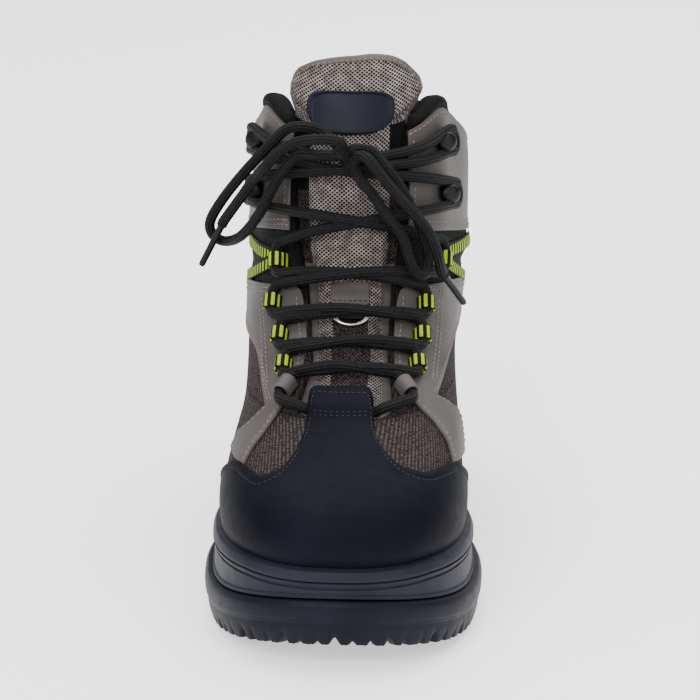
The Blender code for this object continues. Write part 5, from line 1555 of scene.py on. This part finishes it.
def make_outsole():
    """The cup sole with its bulging band and its lugs, each cut into small teeth."""
    reach = CUP_REACH
    base, cup = LUG_BAND, LUG_BAND + CUP_BAND
    profile = np.array((
        (reach - 0.0040, LUG_HEIGHT), (reach - 0.0030, LUG_HEIGHT + 0.0004),
        (reach - 0.0020, LUG_HEIGHT + 0.0020), (reach - 0.0013, base - 0.0010),
        (reach - 0.0010, base + 0.0001), (reach - 0.0008, base + 0.0007), (reach - 0.0002, base + 0.0012),
        (reach, base + 0.45 * CUP_BAND), (reach - 0.0003, base + 0.70 * CUP_BAND),
        (reach - 0.0010, cup - 0.0013), (reach - 0.0018, cup - 0.0004), (reach - 0.0030, cup)))
    fine = smooth(profile, np.linspace(0, len(profile) - 1, 4 * (len(profile) - 1) + 1))
    made = stack_piece("cup_sole", [sole_ring(out, up) for out, up in fine], "sole")
    seat(made, "outsole_rubber", "outsole")
    make_lug_wall(reach, base)
    lugs = bmesh.new()
    tall = LUG_HEIGHT + 0.0012
    for share, width in ((0.0, 0.29), (0.055, 0.23), (-0.055, 0.25)):
        for part in (-1, 0, 1):
            x = part * width * UPPER_WIDTH / 3
            add_tooth(lugs, (x, share * LENGTH, 0.0), (width * UPPER_WIDTH / 3.3, 0.029 * LENGTH), 0.0, tall)
    for row in range(5):
        y = HEEL_REACH - (0.5325 + row * 0.0763) * LENGTH
        span = (0.19 + 0.039 * sin(pi * (row + 1) / 6)) * UPPER_WIDTH
        for side in (-1, 0, 1):
            wide, deep = (0.145, 0.039) if side else (0.117, 0.042)
            x, at = 0.005 * row * UPPER_WIDTH + side * span, y + 0.013 * LENGTH * abs(side)
            add_tooth(lugs, (x, at, float(sole_floor(at))), (wide * UPPER_WIDTH, deep * LENGTH),
                      side * 0.35, tall)
    made = built("lugs", lugs, "sole")
    soft = made.modifiers.new("soft_edges", "BEVEL")
    soft.width = 0.0004
    soft.segments = 2
    apply_all(made)
    smoothed(made, 30.0)
    seat(made, "outsole_rubber")


def make_midsole():
    """The recessed foam band with a fine groove, and the welt with its lip."""
    low, high = LUG_BAND + CUP_BAND + GAP, -WELT_HEIGHT - GAP
    below = ((-0.0010, 0.0), (0.0004, 0.0004), (0.0004, 0.0016), (-0.0004, 0.0024))
    above = ((-0.0005, -0.0030), (-0.0011, -0.0026), (-0.0011, -0.0021), (-0.0002, -0.0016),
             (0.0002, -0.0003), (-0.0002, 0.0))
    rings = [sole_ring(MIDSOLE_REACH + out, low + up) for out, up in below]
    rings += [sole_ring(MIDSOLE_REACH + out, high + up, True) for out, up in above]
    made = stack_piece("foam_band", rings, "foam")
    seat(made, "midsole_foam", "midsole")
    profile = np.array((
        (WELT_REACH - 0.0012, -WELT_HEIGHT), (WELT_REACH - 0.0006, -WELT_HEIGHT + 0.0002),
        (WELT_REACH - 0.0003, -WELT_HEIGHT + 0.0010), (WELT_REACH - 0.0006, -0.0032),
        (WELT_REACH - 0.0014, -0.0014), (WELT_REACH - 0.0020, -0.0009), (WELT_REACH - 0.0034, -0.0002),
        (WELT_REACH - 0.0060, 0.0006)))
    fine = smooth(profile, np.linspace(0, len(profile) - 1, 3 * (len(profile) - 1) + 1))
    made = stack_piece("welt_band", [sole_ring(out, up, True) for out, up in fine], "foam")
    seat(made, "welt_rubber", "welt")


# Stitching

def make_stitching():
    """Rows of stitches on the stays, straps, cuff, counter, cap and tongue."""
    top = SEAT + OVERLAY
    lines = []
    for sign, stay, strap in ((-1, STAY_LATERAL, STRAP_LATERAL), (1, STAY_MEDIAL, STRAP_MEDIAL)):
        for distance in (0.0022, 0.0044):
            lines.append(inset_line(stay, sign, False, distance, top, 0.3, 12.0))
        lines.append(inset_line(stay, sign, True, 0.0034, top, 0.4, 5.6))
        for distance in (0.0020, 0.0040):
            lines.append(inset_line(stay, sign, True, distance, top, 6.4, 12.0))
        for inner in (True, False):
            lines.append(inset_line(strap, sign, inner, 0.0019, top, 0.1, 2.85))
        rows = [(height, sign * (abs(turn[sign > 0]) + 13.0)) for height, *turn in LOOP_PLACES]
        start = (rows[0][0] - 0.05, rows[0][1] - sign * 3)
        rows = [start, *rows, (rows[-1][0] + 0.025, rows[-1][1] + sign * 2)]
        lines.append(on_last(rows, top))
        lines.append(on_last([(height, turn + sign * 3.2) for height, turn in rows], top))
    rows = cuff_rows()
    for distance in (0.0020, 0.0042):
        lines.append(inset_line(rows, 1, True, distance, top, 0.0, 10.0))
    lines.append(inset_line(rows, 1, False, 0.0026, top, 0.0, 10.0))
    for turn in (33.4, 326.6):
        lines.append(on_last([(0.800, turn), (0.880, turn), (0.955, turn)], top))
    for distance in (0.0021, 0.0042):
        lines.append(inset_line(counter_rows(), 1, False, distance, top, 0.4, 11.6))
    stitch_piece("panel_stitches", lines, "thread", "panel_leather")
    rows = cap_rows(3)
    wide = np.linalg.norm(last(rows[:, 0], rows[:, 1]) - last(rows[:, 2], rows[:, 3]), axis=-1)
    share = (1 - 0.0028 / wide)[:, None]
    height, turn = (place[:, 0] for place in between(rows, share))
    places = [(height, turn)]
    fine = np.linspace(*CAP_STITCH_TURNS, 60)
    places += [(height + 0 * fine, fine) for height in CAP_STITCH_HEIGHTS]
    lines = [(surface(height, turn, SEAT + TOE_CAP + tab_lift(height)), frame_at(height, turn)[2])
             for height, turn in places]
    stitch_piece("cap_stitches", lines, "dark_thread", "cap_rubber", pitch=0.0024, length=0.0016)
    lines = [tongue_edge(0.0030, 0.0010)]
    for sign in (-1, 1):
        heights = np.linspace(0.47, 0.742, 60)
        turn = throat_edges(heights)[0] + sign * 16.0
        share = sign * 16.0 / tongue_half_turn(heights)
        lines.append((tongue_surface(heights, share, 0.0001), frame_at(heights, turn)[2]))
    stitch_piece("tongue_stitches", lines, "thread", "tongue_mesh", pitch=0.0027, length=0.0018, thick=0.0005)
    low, high = TAB_HEIGHTS
    height = low + 0.46 * (high - low)
    turns = np.linspace(-8.0, 8.0, 30)
    points = tongue_surface(
        height + 0 * turns, turns / tongue_half_turn(height), GAP + TAB_SEAT + 0.0016)
    outs = frame_at(height + 0 * turns, throat_edges(height)[0] + turns)[2]
    stitch_piece("tab_stitches", [(points, outs)], "dark_thread", "panel_leather",
                 pitch=0.0022, length=0.0015, thick=0.0006)


def paint_cad_nodes():
    """A better finish for the CAD node that stays."""
    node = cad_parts["insole"]
    for slot in node.material_slots:
        slot.material = PAINTS["insole"]


# Stage

def view_axes():
    """The camera's directions: away from the boot, right and up."""
    azimuth, elevation = radians(VIEW_AZIMUTH), radians(VIEW_ELEVATION)
    back = Vector((sin(azimuth) * cos(elevation), -cos(azimuth) * cos(elevation), sin(elevation)))
    right = (-back).cross(Vector((0, 0, 1))).normalized()
    return back, right, right.cross(-back)


def add_light(name, place, size, power, color=(1.0, 1.0, 1.0)):
    bpy.ops.object.light_add(type="AREA", location=place)
    lamp = bpy.context.object
    lamp.name = name
    lamp.data.shape = "RECTANGLE"
    lamp.data.size, lamp.data.size_y = size
    lamp.data.energy = power
    lamp.data.color = color
    way = Vector((0.0, -0.10, 0.09)) - Vector(place)
    lamp.rotation_euler = way.to_track_quat("-Z", "Y").to_euler()


def make_stage(look):
    """The pale floor, the studio lights and the photograph's camera."""
    bpy.ops.mesh.primitive_grid_add(x_subdivisions=24, y_subdivisions=24, size=8.0)
    floor = bpy.context.object
    floor.name = "floor"
    floor.data.materials.append(floor_paint("pale_floor", tuple(look.floor_color)))
    add_light("key", (-0.5, -1.9, 1.4), (1.4, 1.0), 46.0)
    add_light("fill", (1.3, -1.5, 0.9), (1.2, 1.2), 14.0)
    add_light("top", (0.0, 0.5, 2.4), (3.0, 3.0), 120.0)
    add_light("rim", (0.6, 1.6, 1.1), (1.4, 0.8), 8.0)
    world = bpy.data.worlds.new("studio")
    world.use_nodes = True
    background = world.node_tree.nodes["Background"]
    background.inputs[0].default_value = (1.0, 1.0, 1.0, 1.0)
    background.inputs[1].default_value = 0.45
    bpy.context.scene.world = world
    back, _, up = view_axes()
    target = Vector(AIM) - up * AIM_DROP
    bpy.ops.object.camera_add(location=target + back * VIEW_DISTANCE)
    camera = bpy.context.object
    camera.name = "camera"
    camera.rotation_euler = (-back).to_track_quat("-Z", "Y").to_euler()
    camera.data.sensor_fit = "HORIZONTAL"
    camera.data.sensor_width = SENSOR
    camera.data.lens = FOCAL_PIXELS / IMAGE_PIXELS * SENSOR
    camera.data.clip_start = 0.05
    bpy.context.scene.camera = camera


# Add-on

class BootLook(bpy.types.PropertyGroup):
    """Colours of the boot and its floor."""

    leather_color: FloatVectorProperty(
        name="Leather", description="Colour of the stays, straps, cuff and counter",
        subtype="COLOR", size=3, min=0.0, max=1.0, default=(0.064, 0.056, 0.052))
    lime_color: FloatVectorProperty(
        name="Webbing", description="Colour of the webbing's bright bars",
        subtype="COLOR", size=3, min=0.0, max=1.0, default=(0.33, 0.47, 0.004))
    rubber_color: FloatVectorProperty(
        name="Rubber", description="Colour of the toe cap; the sole is a little lighter",
        subtype="COLOR", size=3, min=0.0, max=1.0, default=(0.0024, 0.0026, 0.0056))
    floor_color: FloatVectorProperty(
        name="Floor", description="Colour of the floor",
        subtype="COLOR", size=3, min=0.0, max=1.0, default=(0.93, 0.93, 0.93))


class BootOperator(bpy.types.Operator):
    """Makes some of the boot's pieces."""

    bl_idname = "boot.base"
    bl_label = "Boot pieces"
    steps = ()

    def execute(self, context):
        for step in self.steps:
            step()
        return {"FINISHED"}


def boot_operator(name, label, *steps):
    """An operator class that runs the functions of one group of pieces."""
    return type(
        "BOOT_OT_" + name, (BootOperator,),
        {"bl_idname": "boot." + name, "bl_label": label, "__doc__": label, "steps": steps})


class BOOT_OT_paints(bpy.types.Operator):
    """Makes every material of the boot"""

    bl_idname = "boot.paints"
    bl_label = "Materials"

    def execute(self, context):
        PAINTS.update(make_paints(context.scene.boot_look))
        paint_cad_nodes()
        return {"FINISHED"}


class BOOT_OT_stage(bpy.types.Operator):
    """Adds the floor, the lights and the camera"""

    bl_idname = "boot.stage"
    bl_label = "Stage"

    def execute(self, context):
        make_stage(context.scene.boot_look)
        return {"FINISHED"}


PIECES = (
    boot_operator("bow", "Knot, bow and lace ends", make_bow),
    boot_operator("lacing", "Lace through its loops", make_lacing),
    boot_operator("sole", "Cup sole, lugs, foam band and welt", make_outsole, make_midsole),
    boot_operator("upper", "Mesh shell", make_upper),
    boot_operator("lining", "Padded collar", make_lining),
    boot_operator("cap", "Toe cap and heel counter", make_toe_cap, make_counter),
    boot_operator("panels", "Stays, straps and cuff", make_stays, make_straps, make_cuff),
    boot_operator("tongue", "Tongue, badge, tab and ring", make_tongue, make_badge, make_tab),
    boot_operator("webbing", "Loops, tunnels and ankle webbing", make_loops, make_webbing),
    boot_operator("hooks", "Speed hooks", make_hooks),
    boot_operator("stitching", "Stitches", make_stitching),
)


class BOOT_PT_panel(bpy.types.Panel):
    """Lists the boot's operators"""

    bl_idname = "BOOT_PT_panel"
    bl_label = "Wading boot"
    bl_space_type = "VIEW_3D"
    bl_region_type = "UI"
    bl_category = "Boot"

    def draw(self, context):
        column = self.layout.column()
        for key in ("leather_color", "lime_color", "rubber_color", "floor_color"):
            column.prop(context.scene.boot_look, key)
        for made in (BOOT_OT_paints, *PIECES, BOOT_OT_stage):
            column.operator(made.bl_idname)


CLASSES = (BootLook, BOOT_OT_paints, *PIECES, BOOT_OT_stage, BOOT_PT_panel)


def register():
    for made in CLASSES:
        bpy.utils.register_class(made)
    bpy.types.Scene.boot_look = PointerProperty(type=BootLook)


def unregister():
    del bpy.types.Scene.boot_look
    for made in reversed(CLASSES):
        bpy.utils.unregister_class(made)


def main():
    register()
    bpy.ops.boot.paints()
    bpy.ops.boot.stage()
    for made in PIECES:
        getattr(bpy.ops.boot, made.bl_idname.split(".")[1])()


if __name__ == "__main__":
    main()
